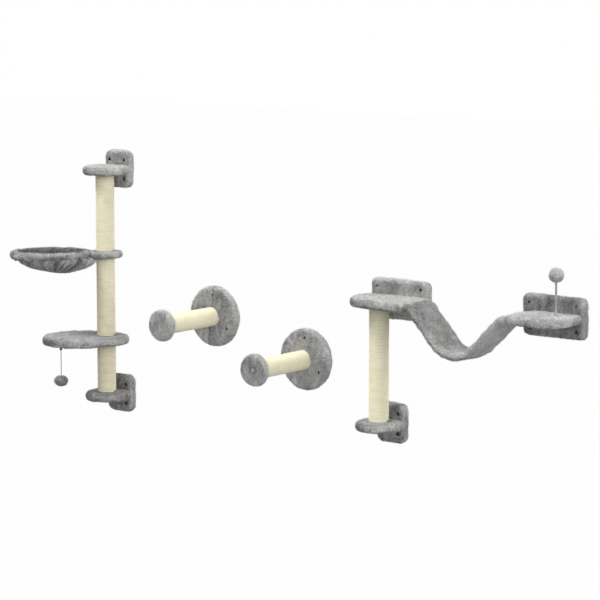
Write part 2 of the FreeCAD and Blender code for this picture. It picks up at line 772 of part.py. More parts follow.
def hammock():
    """The thick plush strip that hangs between the two shelves."""
    left = value("bridge_x + left_shelf_length")
    level = value("bridge_top_z")
    back = value(f"{PLATE} + cloth_wall_gap")
    front = value("post_distance + wide_shelf_radius - cloth_front_inset")
    middle = -(front + back) / 2
    corners = []
    for gap_share, sag_share in CLOTH_SHARES:
        x = left + gap_share * value("cloth_gap")
        corners.append(Vector(x, middle, level - sag_share * value("cloth_sag")))
    path = rounded_path(corners, value("cloth_bend"))
    half_width = (front - back) / 2
    half_thick = value("cloth_thickness") / 2
    corner = value("cloth_round")
    arcs = []
    for y, z in ((1, 1), (-1, 1), (-1, -1), (1, -1)):
        pivot = corners[0] + Vector(0, y * (half_width - corner), z * (half_thick - corner))
        first, last = Vector(0, y * corner, 0), Vector(0, 0, z * corner)
        if y * z < 0:
            first, last = last, first
        knee = (first + last).normalize() * corner
        arcs.append((pivot + first, pivot + knee, pivot + last))
    edges = []
    for number, (first, knee, last) in enumerate(arcs):
        edges.append(Part.Arc(first, knee, last).toShape())
        edges.append(Part.LineSegment(last, arcs[(number + 1) % len(arcs)][0]).toShape())
    section = Part.Wire(edges)
    cloth = doc.addObject("Part::Feature", "bridge_hammock")
    cloth.Shape = swept(path, section, Part.Face(section).Area)
    keep("bridge_hammock", cloth)


def toy():
    """The plush ball on a sleeved spring wire that stands on the far shelf."""
    pivot = "(bridge_top_z + shelf_board / 2 + swivel_clearance + toy_foot_radius)"
    stem_start = f"({pivot} + toy_foot_radius + swivel_clearance)"
    ball_level = f"({stem_start} + toy_stem_length + toy_ball_radius)"
    foot = doc.addObject("Part::Sphere", "toy_foot")
    bind(foot, Radius="toy_foot_radius")
    keep("toy_foot", place(foot, TOY_X, "-toy_distance", pivot))
    wire = rod("toy_wire", "toy_wire_radius", "toy_stem_length + toy_ball_radius",
               TOY_X, "-toy_distance", stem_start, "+Z")
    keep("toy_wire", wire)
    globe = doc.addObject("Part::Sphere", "toy_globe")
    bind(globe, Radius="toy_ball_radius")
    place(globe, TOY_X, "-toy_distance", ball_level)
    length = "toy_stem_length + toy_ball_radius / 2"
    sleeve = tube("toy_sleeve", "toy_sleeve_radius", "toy_wire_radius", length,
                  TOY_X, "-toy_distance", stem_start, "+Z")
    keep("toy_sleeve", cut("toy_sleeve", sleeve, globe))
    keep("toy_ball", cut("toy_ball", globe, wire))


def check_document():
    """Stops if any object failed or any piece is empty or broken."""
    doc.recompute()
    for thing in doc.Objects:
        if any(state in ("Invalid", "Error") for state in thing.State):
            raise RuntimeError(f"{thing.Label} did not recompute: {thing.State}")
    for name, thing in pieces.items():
        if thing.Shape.isNull() or not thing.Shape.isValid() or not thing.Shape.Solids:
            raise RuntimeError(f"{name} has no sound solid")


def write_pieces():
    """Writes each piece to its own file."""
    os.makedirs("parts", exist_ok=True)
    for name, thing in pieces.items():
        thing.Shape.exportStep(f"parts/{name}.step")
        print(f"{name}: {len(thing.Shape.Solids)} solids, {thing.Shape.Volume / 1000:.1f} cm3")


tower()
basket()
platform()
step("step_one", "step_one_x", "step_one_z")
step("step_two", "step_two_x", "step_two_z")
bridge()
hammock()
toy()
group("shelf_screws", screws)
group("post_bolts", bolts)
group("post_studs", studs)
group("post_plugs", plugs)
check_document()
write_pieces()
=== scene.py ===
import json
import logging
import math
from collections.abc import Callable, Iterable, Sequence
from dataclasses import dataclass, field
from enum import Enum
from typing import Any

import bmesh
import bpy
import numpy as np
from mathutils import Matrix, Vector, noise


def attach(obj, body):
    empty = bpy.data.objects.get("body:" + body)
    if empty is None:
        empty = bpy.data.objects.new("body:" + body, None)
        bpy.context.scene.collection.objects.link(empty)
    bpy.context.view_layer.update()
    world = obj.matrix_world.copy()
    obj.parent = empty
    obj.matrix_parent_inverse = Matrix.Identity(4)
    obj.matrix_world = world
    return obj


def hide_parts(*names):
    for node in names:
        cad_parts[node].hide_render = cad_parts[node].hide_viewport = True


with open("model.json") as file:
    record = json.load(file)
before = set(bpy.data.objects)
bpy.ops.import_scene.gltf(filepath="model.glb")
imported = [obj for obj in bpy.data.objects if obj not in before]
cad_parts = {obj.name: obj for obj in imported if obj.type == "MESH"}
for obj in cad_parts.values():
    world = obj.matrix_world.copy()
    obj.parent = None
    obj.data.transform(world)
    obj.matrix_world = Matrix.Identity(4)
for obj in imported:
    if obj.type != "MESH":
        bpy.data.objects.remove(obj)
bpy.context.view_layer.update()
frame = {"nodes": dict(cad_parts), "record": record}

LOG = logging.getLogger("climbing_wall")
Colour = tuple[float, float, float]
Spot = tuple[float, float]
Place = tuple[float, float, float]
Field = Callable[[np.ndarray, np.ndarray], np.ndarray]

# Sizes that several modules share, in metres.
POST_DISTANCE = 0.099
POST_RADIUS = 0.035
ROPE_RADIUS = 0.0025
ROPE_WAVER = 0.0009
PLATE_DEPTH = 0.034
PLATE_HEIGHT = 0.139
SHELF_HALF = 0.0155
SHELF_BOARD_HALF = 0.0075
# How far a shelf's cloth reaches into its plate's.
SHELF_ROOT = 0.004
COLLAR_HALF = 0.012
EDGE_ROUND = 0.009
BACK_ROUND = 0.003
# How far the cloth under the pile lies inside the plush surface.
PILE_ROOM = 0.0022
# How near to the wall the pile ends.
WALL_CONTACT = 0.0055
# How far the pile stays off a post's foot, and the ring of it that stays round the stud inside the post.
POST_MARGIN = 0.001
STUD_RING = 0.006
# Radii of the holes: for wall screws, for wall screws that hardly show, and for bolts.
WALL_HOLE = 0.0046
FAINT_HOLE = 0.0038
ACCESS_HOLE = 0.0055
# The ring round a hole that the pile leaves bare, and the lip inside it, where shade is painted.
HOLE_MARGIN = 0.005
FAINT_MARGIN = 0.003
HOLE_LIP = 0.0015
# The painted shade at a hole's lip.
HOLE_PAINTED_SHADE = -0.6
# How far cutters reach: past a surface, out from the wall and from the middle of a shelf.
CUT_PAST = 0.02
PLATE_CUT = 0.06
SHELF_CUT = 0.03
# Waves in a metre of the cloth's bumps and puckers, and of the pile's lay, patches and streaks.
BUMP_WAVES = (24.0, 75.0)
PUCKER_WAVES = (48.0, 48.0, 12.0)
LAY_WAVES = (9.0, 45.0)
PATCH_WAVES = 15.0
STREAK_WAVES = 60.0
# How many waves a streak loses along the nap.
STREAK_DRAWN = 34.0
# Painted light: how much lighter the pile is painted on faces that look along each axis.
SIDE_PAINTED_LIGHT = np.array((0.46, -0.20, 0.22))


class Nap(Enum):
    """The way in which a plush surface was brushed."""

    DOWN = (0.0, 0.0, -1.0)
    RIGHT = (0.8, -0.4, -0.3)
    OUT = (0.0, -1.0, -0.2)


class NodeWriter:
    """Adds nodes to one tree and links them."""

    def __init__(self, tree: bpy.types.NodeTree) -> None:
        """Empties the tree.

        Args:
            tree: The shader or geometry tree to write.
        """
        self.tree = tree
        tree.nodes.clear()

    def add(self, kind: str, inputs: dict[str | int, Any] | None = None, **settings: Any) -> bpy.types.Node:
        """Adds one node.

        Args:
            kind: The node's type name.
            inputs: A plain value or an output socket for each input, by name or number.
            settings: The node's own properties.

        Returns:
            The new node.
        """
        node = self.tree.nodes.new(kind)
        for name, value in settings.items():
            setattr(node, name, value)
        for key, value in (inputs or {}).items():
            if isinstance(value, bpy.types.NodeSocket):
                self.tree.links.new(value, node.inputs[key])
            else:
                node.inputs[key].default_value = value
        return node

    def sum(self, operation: str, first: Any, second: Any = 0.0) -> bpy.types.NodeSocket:
        """One step of arithmetic.

        Args:
            operation: The Math node's operation.
            first: A number or a socket.
            second: A number or a socket.

        Returns:
            The result's socket.
        """
        return self.add("ShaderNodeMath", {0: first, 1: second}, operation=operation).outputs[0]

    def vector(self, operation: str, first: Any, second: Any) -> bpy.types.NodeSocket:
        """One step of vector arithmetic.

        Args:
            operation: The Vector Math node's operation.
            first: A vector or a socket.
            second: A vector, a socket or the factor of a scaling.

        Returns:
            The result's socket.
        """
        key = "Scale" if operation == "SCALE" else 1
        node = self.add("ShaderNodeVectorMath", {0: first, key: second}, operation=operation)
        return node.outputs["Value" if operation == "DOT_PRODUCT" else "Vector"]

    def mix(self, share: Any, first: Any, second: Any) -> bpy.types.NodeSocket:
        """A blend of two colours.

        Args:
            share: How much of the second colour shows.
            first: A colour or a socket.
            second: A colour or a socket.

        Returns:
            The blended colour's socket.
        """
        given = bpy.types.NodeSocket
        values = [value if isinstance(value, given) else (*value, 1.0) for value in (first, second)]
        return self.add("ShaderNodeMix", {0: share, 6: values[0], 7: values[1]}, data_type="RGBA").outputs[2]

    def noise(self, scale: float, detail: float, vector: bpy.types.NodeSocket) -> bpy.types.NodeSocket:
        """Smooth noise from 0 to 1.

        Args:
            scale: Waves in one unit of the vector.
            detail: How many finer layers are added.
            vector: Where the noise is read.

        Returns:
            The noise's socket.
        """
        values = {"Vector": vector, "Scale": scale, "Detail": detail}
        return self.add("ShaderNodeTexNoise", values).outputs[0]

    def ranged(self, value: Any, low: float, high: float, first: float, last: float) -> bpy.types.NodeSocket:
        """A value stretched from one range to another.

        Args:
            value: The value's socket.
            low: Where the old range starts.
            high: Where the old range ends.
            first: What the start becomes.
            last: What the end becomes.

        Returns:
            The stretched value's socket.
        """
        return self.add("ShaderNodeMapRange", {0: value, 1: low, 2: high, 3: first, 4: last}).outputs[0]


@dataclass(frozen=True)
class Finish:
    """A surface finish, made as one material."""

    name: str
    slot: str
    colour: Colour
    dark: Colour

    def material(self) -> bpy.types.Material:
        """The finish's material, made on first use.

        Returns:
            The material.
        """
        found = bpy.data.materials.get(self.name)
        if found:
            return found
        made = bpy.data.materials.new(self.name)
        made.use_nodes = True
        made.diffuse_color = (*self.colour, 1.0)
        writer = NodeWriter(made.node_tree)
        surface = writer.add("ShaderNodeBsdfPrincipled")
        place = writer.add("ShaderNodeTexCoord").outputs["Object"]
        self.paint(writer, surface, place)
        writer.add("ShaderNodeOutputMaterial", {"Surface": surface.outputs[0]})
        return made

    def paint(self, writer: NodeWriter, surface: bpy.types.Node, place: bpy.types.NodeSocket) -> None:
        """Links the colour, roughness and relief. Each finish has its own.

        Args:
            writer: Writes the material's tree.
            surface: The material's shader.
            place: The piece's own coordinates.
        """
        raise NotImplementedError

    @staticmethod
    def relief(writer: NodeWriter, surface: bpy.types.Node, height: Any, strength: float,
               depth: float) -> None:
        """Adds a bump to the shader.

        Args:
            writer: Writes the material's tree.
            surface: The material's shader.
            height: The bump's height from 0 to 1.
            strength: How much of the bump shows.
            depth: The bump's depth in metres.
        """
        bump = writer.add("ShaderNodeBump", {"Strength": strength, "Distance": depth, "Height": height})
        writer.tree.links.new(bump.outputs[0], surface.inputs["Normal"])


@dataclass(frozen=True)
class PlushFinish(Finish):
    """Short cut pile, with painted shade at its roots, patchy where it was brushed, and carrying painted
    light and shade.
    """

    # How far the pile's tone spreads: its patches and its painted light and shade.
    patch_and_light_range: float = 0.5

    def paint(self, writer: NodeWriter, surface: bpy.types.Node, place: bpy.types.NodeSocket) -> None:
        """Pile with light tips over roots painted dark as the shade between the locks, in tufts and brushed
        streaks, toned by the cloth's painted light and shade.

        Args:
            writer: Writes the material's tree.
            surface: The material's shader.
            place: The piece's own coordinates.
        """
        tip = writer.add("ShaderNodeAttribute", attribute_name="tip").outputs["Fac"]
        shade = writer.add("ShaderNodeAttribute", attribute_name="shade").outputs["Fac"]
        brush = writer.add("ShaderNodeAttribute", attribute_name="brush").outputs["Fac"]
        tuft = writer.noise(150.0, 2.0, place)
        fine = writer.noise(420.0, 1.0, place)
        # Painted shade: the pile darkens towards its roots and on the cloth between the locks.
        lit = writer.mix(writer.ranged(tip, 0.0, 0.75, 0.0, 1.0), self.dark, self.colour)
        # The nap value's patches and its painted light and shade set how light the pile is, down to the
        # painted shade at a hole's lip.
        value = writer.ranged(brush, HOLE_PAINTED_SHADE, 1.0, 1.0 - 1.9 * self.patch_and_light_range, 1.0 + 0.5 * self.patch_and_light_range)
        value = writer.sum("ADD", value, writer.ranged(tuft, 0.3, 0.7, -0.32, 0.2))
        value = writer.sum("ADD", value, writer.ranged(shade, 0.0, 1.0, -0.18, 0.16))
        toned = writer.add("ShaderNodeHueSaturation", {"Value": value, "Color": lit})
        writer.tree.links.new(toned.outputs[0], surface.inputs["Base Color"])
        rough = writer.ranged(fine, 0.2, 0.8, 0.78, 0.98)
        writer.tree.links.new(rough, surface.inputs["Roughness"])
        surface.inputs["Specular IOR Level"].default_value = 0.2
        surface.inputs["Sheen Weight"].default_value = 0.45
        surface.inputs["Sheen Roughness"].default_value = 0.35
        self.relief(writer, surface, writer.noise(1400.0, 2.0, place), 0.3, 0.0005)


@dataclass(frozen=True)
class SisalFinish(Finish):
    """Three-strand sisal rope with loose fibres."""

    strands: float = 3.0
    lay: float = 0.013
    turns: float = 4.9

    def paint(self, writer: NodeWriter, surface: bpy.types.Node, place: bpy.types.NodeSocket) -> None:
        """Strands that wind round the rope, with painted shade in the grooves between them and streaks along
        the fibres.

        Args:
            writer: Writes the material's tree.
            surface: The material's shader.
            place: The piece's own coordinates.
        """
        along = writer.add("ShaderNodeAttribute", attribute_name="rope_along").outputs["Fac"]
        about = writer.add("ShaderNodeAttribute", attribute_name="rope_about").outputs["Vector"]
        parts = writer.add("ShaderNodeSeparateXYZ", {0: about})
        angle = writer.sum("ARCTAN2", parts.outputs[1], parts.outputs[0])
        run = writer.sum("MULTIPLY", along, 2 * math.pi / self.lay)
        phase = writer.sum("ADD", writer.sum("MULTIPLY", angle, self.strands),
                           writer.sum("MULTIPLY", run, self.strands))
        strand = writer.sum("ABSOLUTE", writer.sum("COSINE", writer.sum("MULTIPLY", phase, 0.5)))
        round_strand = writer.sum("POWER", strand, 0.6)
        drawn = writer.sum("MULTIPLY", phase, 2.2)
        spot = writer.add("ShaderNodeCombineXYZ", {0: drawn, 1: run, 2: angle}).outputs[0]
        fibre = writer.noise(1.6, 3.0, spot)
        broad = writer.noise(22.0, 3.0, place)
        turn = writer.add("ShaderNodeCombineXYZ", {0: writer.sum("MULTIPLY", along, self.turns)}).outputs[0]
        coil = writer.noise(1.1, 1.0, turn)
        # Painted shade: the colour darkens from each strand's crown into the grooves between the strands.
        share = writer.sum("MULTIPLY", writer.ranged(round_strand, 0.25, 0.95, 0.35, 1.0),
                           writer.ranged(fibre, 0.25, 0.75, 0.72, 1.1))
        share = writer.sum("MULTIPLY", share, writer.ranged(broad, 0.25, 0.75, 0.85, 1.1))
        share = writer.sum("MULTIPLY", share, writer.ranged(coil, 0.25, 0.6, 0.78, 1.08))
        colour = writer.mix(share, self.dark, self.colour)
        writer.tree.links.new(colour, surface.inputs["Base Color"])
        writer.tree.links.new(writer.ranged(fibre, 0.2, 0.8, 0.6, 0.85), surface.inputs["Roughness"])
        surface.inputs["Specular IOR Level"].default_value = 0.25
        height = writer.sum("ADD", writer.sum("MULTIPLY", round_strand, 0.7),
                            writer.sum("MULTIPLY", fibre, 0.3))
        self.relief(writer, surface, height, 0.6, 0.0009)


@dataclass(frozen=True)
class GrainFinish(Finish):
    """A mottled hard surface: pressed board, paper tube, turned wood or plain plastic."""

    stretch: tuple[float, float, float] = (1.0, 1.0, 1.0)
    scale: float = 300.0
    rough: tuple[float, float] = (0.6, 0.85)
    depth: float = 0.0003

    def paint(self, writer: NodeWriter, surface: bpy.types.Node, place: bpy.types.NodeSocket) -> None:
        """Two sizes of mottle, drawn out along the grain.

        Args:
            writer: Writes the material's tree.
            surface: The material's shader.
            place: The piece's own coordinates.
        """
        drawn = writer.add("ShaderNodeMapping", {"Vector": place, "Scale": self.stretch}).outputs[0]
        coarse = writer.noise(self.scale / 6, 3.0, drawn)
        fine = writer.noise(self.scale, 2.0, drawn)
        share = writer.sum("ADD", writer.ranged(coarse, 0.3, 0.7, 0.0, 0.6),
                           writer.ranged(fine, 0.3, 0.7, 0.0, 0.4))
        writer.tree.links.new(writer.mix(share, self.dark, self.colour), surface.inputs["Base Color"])
        writer.tree.links.new(writer.ranged(fine, 0.2, 0.8, *self.rough), surface.inputs["Roughness"])
        self.relief(writer, surface, fine, 0.3, self.depth)


@dataclass(frozen=True)
class SteelFinish(GrainFinish):
    """Zinc-plated steel with drawing marks."""

    def paint(self, writer: NodeWriter, surface: bpy.types.Node, place: bpy.types.NodeSocket) -> None:
        """The same mottle on bare metal."""
        surface.inputs["Metallic"].default_value = 1.0
        GrainFinish.paint(self, writer, surface, place)


PLUSH = PlushFinish("grey_plush", "plush", (0.83, 0.83, 0.82), (0.42, 0.42, 0.415))
BALL_PLUSH = PlushFinish("pale_plush", "toy_plush", (0.80, 0.80, 0.81), (0.50, 0.50, 0.51), patch_and_light_range=0.16)
# A darker copy of the toy's plush for the hanging ball, as painted shade under the platform.
PENDANT_PLUSH = PlushFinish("dark_plush", "toy_plush", (0.52, 0.52, 0.53), (0.20, 0.20, 0.205), patch_and_light_range=0.2)
SISAL = SisalFinish("sisal_rope", "sisal", (0.93, 0.885, 0.70), (0.55, 0.50, 0.32))
STRING = GrainFinish(
    "grey_string", "string", (0.03, 0.03, 0.033), (0.012, 0.012, 0.014), (1.0, 1.0, 2.5), scale=1500.0)
CHIPBOARD = GrainFinish("pressed_board", "particleboard", (0.66, 0.52, 0.36), (0.36, 0.26, 0.16), scale=420.0)
PAPER_TUBE = GrainFinish(
    "paper_tube", "cardboard", (0.55, 0.43, 0.30), (0.42, 0.32, 0.21), (1.0, 1.0, 0.2), scale=260.0)
TURNED_WOOD = GrainFinish(
    "turned_wood", "plug_wood", (0.60, 0.45, 0.29), (0.40, 0.28, 0.16), (1.0, 1.0, 0.08), scale=500.0)
ZINC = SteelFinish(
    "plated_steel", "steel", (0.42, 0.43, 0.42), (0.26, 0.27, 0.26), rough=(0.3, 0.5), scale=900.0,
    depth=0.0001)
KNOB = GrainFinish(
    "black_knob", "black_plastic", (0.025, 0.025, 0.027), (0.010, 0.010, 0.011), rough=(0.35, 0.5))
FINISHES: dict[str, Finish] = {finish.slot: finish for finish in (
    PLUSH, BALL_PLUSH, SISAL, STRING, CHIPBOARD, PAPER_TUBE, TURNED_WOOD, ZINC, KNOB)}


class Tree:
    """A geometry node tree with named inputs."""

    def __init__(self, name: str, inputs: dict[str, str]) -> None:
        """Makes the tree's sockets.

        Args:
            name: The tree's name.
            inputs: The socket type of each named input.
        """
        self.group = bpy.data.node_groups.new(name, "GeometryNodeTree")
        self.writer = NodeWriter(self.group)
        self.keys: dict[str, str] = {}
        for label, kind in inputs.items():
            socket = self.group.interface.new_socket(label, in_out="INPUT", socket_type="NodeSocket" + kind)
            self.keys[label] = socket.identifier
        self.group.interface.new_socket("Geometry", in_out="OUTPUT", socket_type="NodeSocketGeometry")
        self.given = self.writer.add("NodeGroupInput").outputs

    def finish(self, geometry: bpy.types.NodeSocket) -> None:
        """Ends the tree in one plain mesh of one material.

        Args:
            geometry: What the tree has made.
        """
        real = self.writer.add("GeometryNodeRealizeInstances", {0: geometry})
        dressed = self.writer.add("GeometryNodeSetMaterial", {
            0: real.outputs[0], "Material": self.given["Material"]})
        self.writer.add("NodeGroupOutput", {0: dressed.outputs[0]})

    def run(self, mesh: bpy.types.Mesh, **values: Any) -> bpy.types.Mesh:
        """Runs the tree over a mesh.

        Args:
            mesh: The mesh to start from.
            values: A value for each named input, with _ for a space.

        Returns:
            A plain mesh.
        """
        holder = bpy.data.objects.new("holder", mesh)
        bpy.context.scene.collection.objects.link(holder)
        modifier = holder.modifiers.new("tree", "NODES")
        modifier.node_group = self.group
        for name, value in values.items():
            modifier[self.keys[name.replace("_", " ")]] = value
        return settle(holder)


def settle(holder: bpy.types.Object) -> bpy.types.Mesh:
    """Turns an object with modifiers into a plain mesh and removes the object.

    Args:
        holder: An object in the scene.

    Returns:
        The mesh that its modifiers give.
    """
    bpy.context.view_layer.update()
    depsgraph = bpy.context.evaluated_depsgraph_get()
    made = bpy.data.meshes.new_from_object(
        holder.evaluated_get(depsgraph), preserve_all_data_layers=True, depsgraph=depsgraph)
    bpy.data.objects.remove(holder)
    return made


class PileTree(Tree):
    """Locks of pile that stand on a cloth and lean along its nap."""

    def __init__(self) -> None:
        """Writes the tree."""
        super().__init__("plush_pile", {
            "Geometry": "Geometry", "Density": "Float", "Length": "Float", "Width": "Float", "Lift": "Float",
            "Seed": "Int", "Keep Cloth": "Bool", "Material": "Material"})
        w = self.writer
        given = self.given
        cover = w.add("GeometryNodeInputNamedAttribute", {"Name": "cover"}, data_type="FLOAT").outputs[0]
        nap = w.add("GeometryNodeInputNamedAttribute", {"Name": "nap"}, data_type="FLOAT_VECTOR").outputs[0]
        points = w.add("GeometryNodeDistributePointsOnFaces", {
            "Mesh": given["Geometry"], "Density": w.sum("MULTIPLY", given["Density"], cover),
            "Seed": given["Seed"]}, distribute_method="RANDOM")
        normal = points.outputs["Normal"]

        cone = w.add("GeometryNodeMeshCone", {
            "Vertices": 3, "Side Segments": 1, "Radius Top": 0.0, "Radius Bottom": 1.0, "Depth": 1.0},
            fill_type="NONE")
        height = w.add("ShaderNodeSeparateXYZ", {0: w.add("GeometryNodeInputPosition").outputs[0]}).outputs[2]
        marked = w.add("GeometryNodeStoreNamedAttribute", {
            "Geometry": cone.outputs[0], "Name": "tip", "Value": height}, data_type="FLOAT", domain="POINT")
        lock = w.add("GeometryNodeSetShadeSmooth", {0: marked.outputs[0]}).outputs[0]

        stray = w.add("FunctionNodeRandomValue", {
            0: (-0.4, -0.4, -0.4), 1: (0.4, 0.4, 0.4), "Seed": given["Seed"]},
            data_type="FLOAT_VECTOR").outputs[0]
        loose = w.vector("ADD", nap, stray)
        across = w.vector("SCALE", normal, w.vector("DOT_PRODUCT", loose, normal))
        leant = w.vector("SUBTRACT", loose, across)
        flat = w.add("ShaderNodeVectorMath", {0: leant}, operation="NORMALIZE").outputs[0]
        rise = w.sum("ADD", given["Lift"], w.add("FunctionNodeRandomValue", {
            2: -0.2, 3: 0.2, "Seed": w.sum("ADD", given["Seed"], 1.0)}, data_type="FLOAT").outputs[1])
        aim = w.vector("ADD", w.vector("SCALE", flat, w.sum("COSINE", rise)),
                       w.vector("SCALE", normal, w.sum("SINE", rise)))
        turned = w.add("FunctionNodeAlignRotationToVector", {"Vector": aim}, axis="Z").outputs[0]
        rolled = w.add("FunctionNodeAlignRotationToVector", {
            "Rotation": turned, "Vector": normal}, axis="Y", pivot_axis="Z").outputs[0]
        grown = w.add("FunctionNodeRandomValue", {
            2: 0.7, 3: 1.25, "Seed": w.sum("ADD", given["Seed"], 2.0)}, data_type="FLOAT").outputs[1]
        size = w.add("ShaderNodeCombineXYZ", {
            0: given["Width"], 1: w.sum("MULTIPLY", given["Width"], 0.55),
            2: w.sum("MULTIPLY", given["Length"], grown)})
        locks = w.add("GeometryNodeInstanceOnPoints", {
            "Points": points.outputs["Points"], "Instance": lock, "Rotation": rolled,
            "Scale": size.outputs[0]})
        tone = w.add("FunctionNodeRandomValue", {
            2: 0.0, 3: 1.0, "Seed": w.sum("ADD", given["Seed"], 3.0)}, data_type="FLOAT").outputs[1]
        toned = w.add("GeometryNodeStoreNamedAttribute", {
            "Geometry": locks.outputs[0], "Name": "shade", "Value": tone},
            data_type="FLOAT", domain="INSTANCE")
        cloth = w.add("GeometryNodeSwitch", {
            "Switch": given["Keep Cloth"], "True": given["Geometry"]}, input_type="GEOMETRY").outputs[0]
        joined = w.add("GeometryNodeJoinGeometry")
        w.tree.links.new(cloth, joined.inputs[0])
        w.tree.links.new(toned.outputs[0], joined.inputs[0])
        self.finish(joined.outputs[0])


class WindingTree(Tree):
    """Rope wound in a close helix about the Z axis."""

    def __init__(self) -> None:
        """Writes the tree."""
        super().__init__("rope_winding", {
            "Geometry": "Geometry", "Turns": "Float", "Radius": "Float", "Height": "Float",
            "Rope Radius": "Float", "Waver": "Float", "Seed": "Int", "Material": "Material"})
        w = self.writer
        given = self.given
        spiral = w.add("GeometryNodeCurveSpiral", {
            "Resolution": 30, "Rotations": given["Turns"], "Start Radius": given["Radius"],
            "End Radius": given["Radius"], "Height": given["Height"]})
        shift = w.add("ShaderNodeCombineXYZ", {0: w.sum("MULTIPLY", given["Seed"], 3.7)}).outputs[0]
        spot = w.vector("ADD", w.add("GeometryNodeInputPosition").outputs[0], shift)
        drift = w.add("ShaderNodeTexNoise", {"Vector": spot, "Scale": 70.0, "Detail": 2.0}).outputs["Color"]
        offset = w.vector("SCALE", w.vector("SUBTRACT", drift, (0.5, 0.5, 0.5)), given["Waver"])
        moved = w.add("GeometryNodeSetPosition", {"Geometry": spiral.outputs[0], "Offset": offset})
        length = w.add("GeometryNodeSplineParameter").outputs["Length"]
        path = w.add("GeometryNodeStoreNamedAttribute", {
            "Geometry": moved.outputs[0], "Name": "rope_along", "Value": length},
            data_type="FLOAT", domain="POINT")
        circle = w.add("GeometryNodeCurvePrimitiveCircle", {"Resolution": 7, "Radius": given["Rope Radius"]})
        round_spot = w.vector("SCALE", w.add("GeometryNodeInputPosition").outputs[0],
                              w.sum("DIVIDE", 1.0, given["Rope Radius"]))
        profile = w.add("GeometryNodeStoreNamedAttribute", {
            "Geometry": circle.outputs[0], "Name": "rope_about", "Value": round_spot},
            data_type="FLOAT_VECTOR", domain="POINT")
        rope = w.add("GeometryNodeCurveToMesh", {
            "Curve": path.outputs[0], "Profile Curve": profile.outputs[0], "Fill Caps": True})
        smooth = w.add("GeometryNodeSetShadeSmooth", {0: rope.outputs[0]})
        self.finish(smooth.outputs[0])


def on_circle(centre: Spot, radius: float, angle: float) -> Spot:
    """A point on a circle at an angle in degrees."""
    turn = math.radians(angle)
    return (centre[0] + radius * math.cos(turn), centre[1] + radius * math.sin(turn))


def arc(centre: Spot, radius: float, start: float, end: float, step: float = 0.006) -> list[Spot]:
    """Points along an arc, counterclockwise, without its last point.

    Args:
        centre: The arc's centre.
        radius: The arc's radius.
        start: The first angle in degrees.
        end: The last angle in degrees.
        step: The distance between points.

    Returns:
        The points.
    """
    count = max(3, round(math.radians(end - start) * radius / step))
    return [on_circle(centre, radius, start + (end - start) * index / count) for index in range(count)]


def whole_arc(centre: Spot, radius: float, start: float, end: float) -> list[Spot]:
    """An arc with its last point."""
    return [*arc(centre, radius, start, end), on_circle(centre, radius, end)]


def rounded_rectangle(width: float, height: float, corner: float) -> list[Spot]:
    """A rectangle round the origin with round corners.

    Args:
        width: Its size along X.
        height: Its size along Y.
        corner: The corners' radius.

    Returns:
        Its points counterclockwise.
    """
    across, up = width / 2 - corner, height / 2 - corner
    turns = ((across, -up, -90), (across, up, 0), (-across, up, 90), (-across, -up, 180))
    return [spot for x, y, start in turns for spot in whole_arc((x, y), corner, start, start + 90)]


def slab(outline: Sequence[Spot], low: float, high: float, rounding: float,
         low_rounding: float) -> bmesh.types.BMesh:
    """A closed slab with rounded rims over a convex outline.

    Args:
        outline: Points counterclockwise.
        low: Where the slab starts along Z.
        high: Where it ends.
        rounding: The upper rim's radius.
        low_rounding: The lower rim's radius.

    Returns:
        The slab's mesh.
    """
    spots = np.array(outline, float)
    ahead = np.roll(spots, -1, 0) - spots
    ahead /= np.linalg.norm(ahead, axis=1)[:, None]
    edge_in = np.stack([-ahead[:, 1], ahead[:, 0]], 1)
    inward = edge_in + np.roll(edge_in, 1, 0)
    inward /= (inward * edge_in).sum(1)[:, None]
    turns = np.linspace(0, math.pi / 2, 5)
    bends = [(1 - math.sin(turn), 1 - math.cos(turn)) for turn in turns]
    levels = [(low_rounding * inset, low + low_rounding * rise) for inset, rise in bends]
    levels += [(rounding * inset, high - rounding * rise) for inset, rise in reversed(bends)]
    return swept_rings([[(x, y, level) for x, y in spots + inward * inset] for inset, level in levels])


def swept_rings(rings: Sequence[Sequence[Vector | Place]]) -> bmesh.types.BMesh:
    """A closed tube through rings of points, with a cap at each end.

    Args:
        rings: Rings of one count of points, turning the same way.

    Returns:
        The tube's mesh, with its faces outwards.
    """
    made = bmesh.new()
    loops = [[made.verts.new(spot) for spot in ring] for ring in rings]
    for below, above in zip(loops, loops[1:]):
        band(made, below, above)
    made.faces.new(loops[0][::-1])
    made.faces.new(loops[-1])
    bmesh.ops.recalc_face_normals(made, faces=made.faces)
    return made


def band(made: bmesh.types.BMesh, first: Sequence[bmesh.types.BMVert],
         last: Sequence[bmesh.types.BMVert]) -> None:
    """Joins two rings of points by faces.

    Args:
        made: The mesh that holds both.
        first: One ring.
        last: The other, with as many points.
    """
    for index in range(len(first)):
        following = (index + 1) % len(first)
        made.faces.new((first[index], first[following], last[following], last[index]))


def globe(centre: Vector, across: float, half_height: float) -> bmesh.types.BMesh:
    """A ball that may be flattened.

    Args:
        centre: The ball's middle.
        across: Its radius.
        half_height: Half of its height.

    Returns:
        The ball's mesh.
    """
    made = bmesh.new()
    bmesh.ops.create_icosphere(made, subdivisions=4, radius=1.0)
    size = Matrix.Diagonal((across, across, half_height, 1.0))
    bmesh.ops.transform(made, matrix=Matrix.Translation(centre) @ size, verts=made.verts)
    return made


def noise_field(points: np.ndarray, scale: float | Sequence[float], seed: float = 0.0) -> np.ndarray:
    """Smooth noise from about -1 to 1 at each point.

    Args:
        points: Places, one in a row.
        scale: Waves in a metre, one for all axes or one for each.
        seed: Moves the noise.

    Returns:
        One number for each point.
    """
    spots = points * np.array(scale, float) + seed
    return np.array([noise.noise(spot) for spot in spots.tolist()])


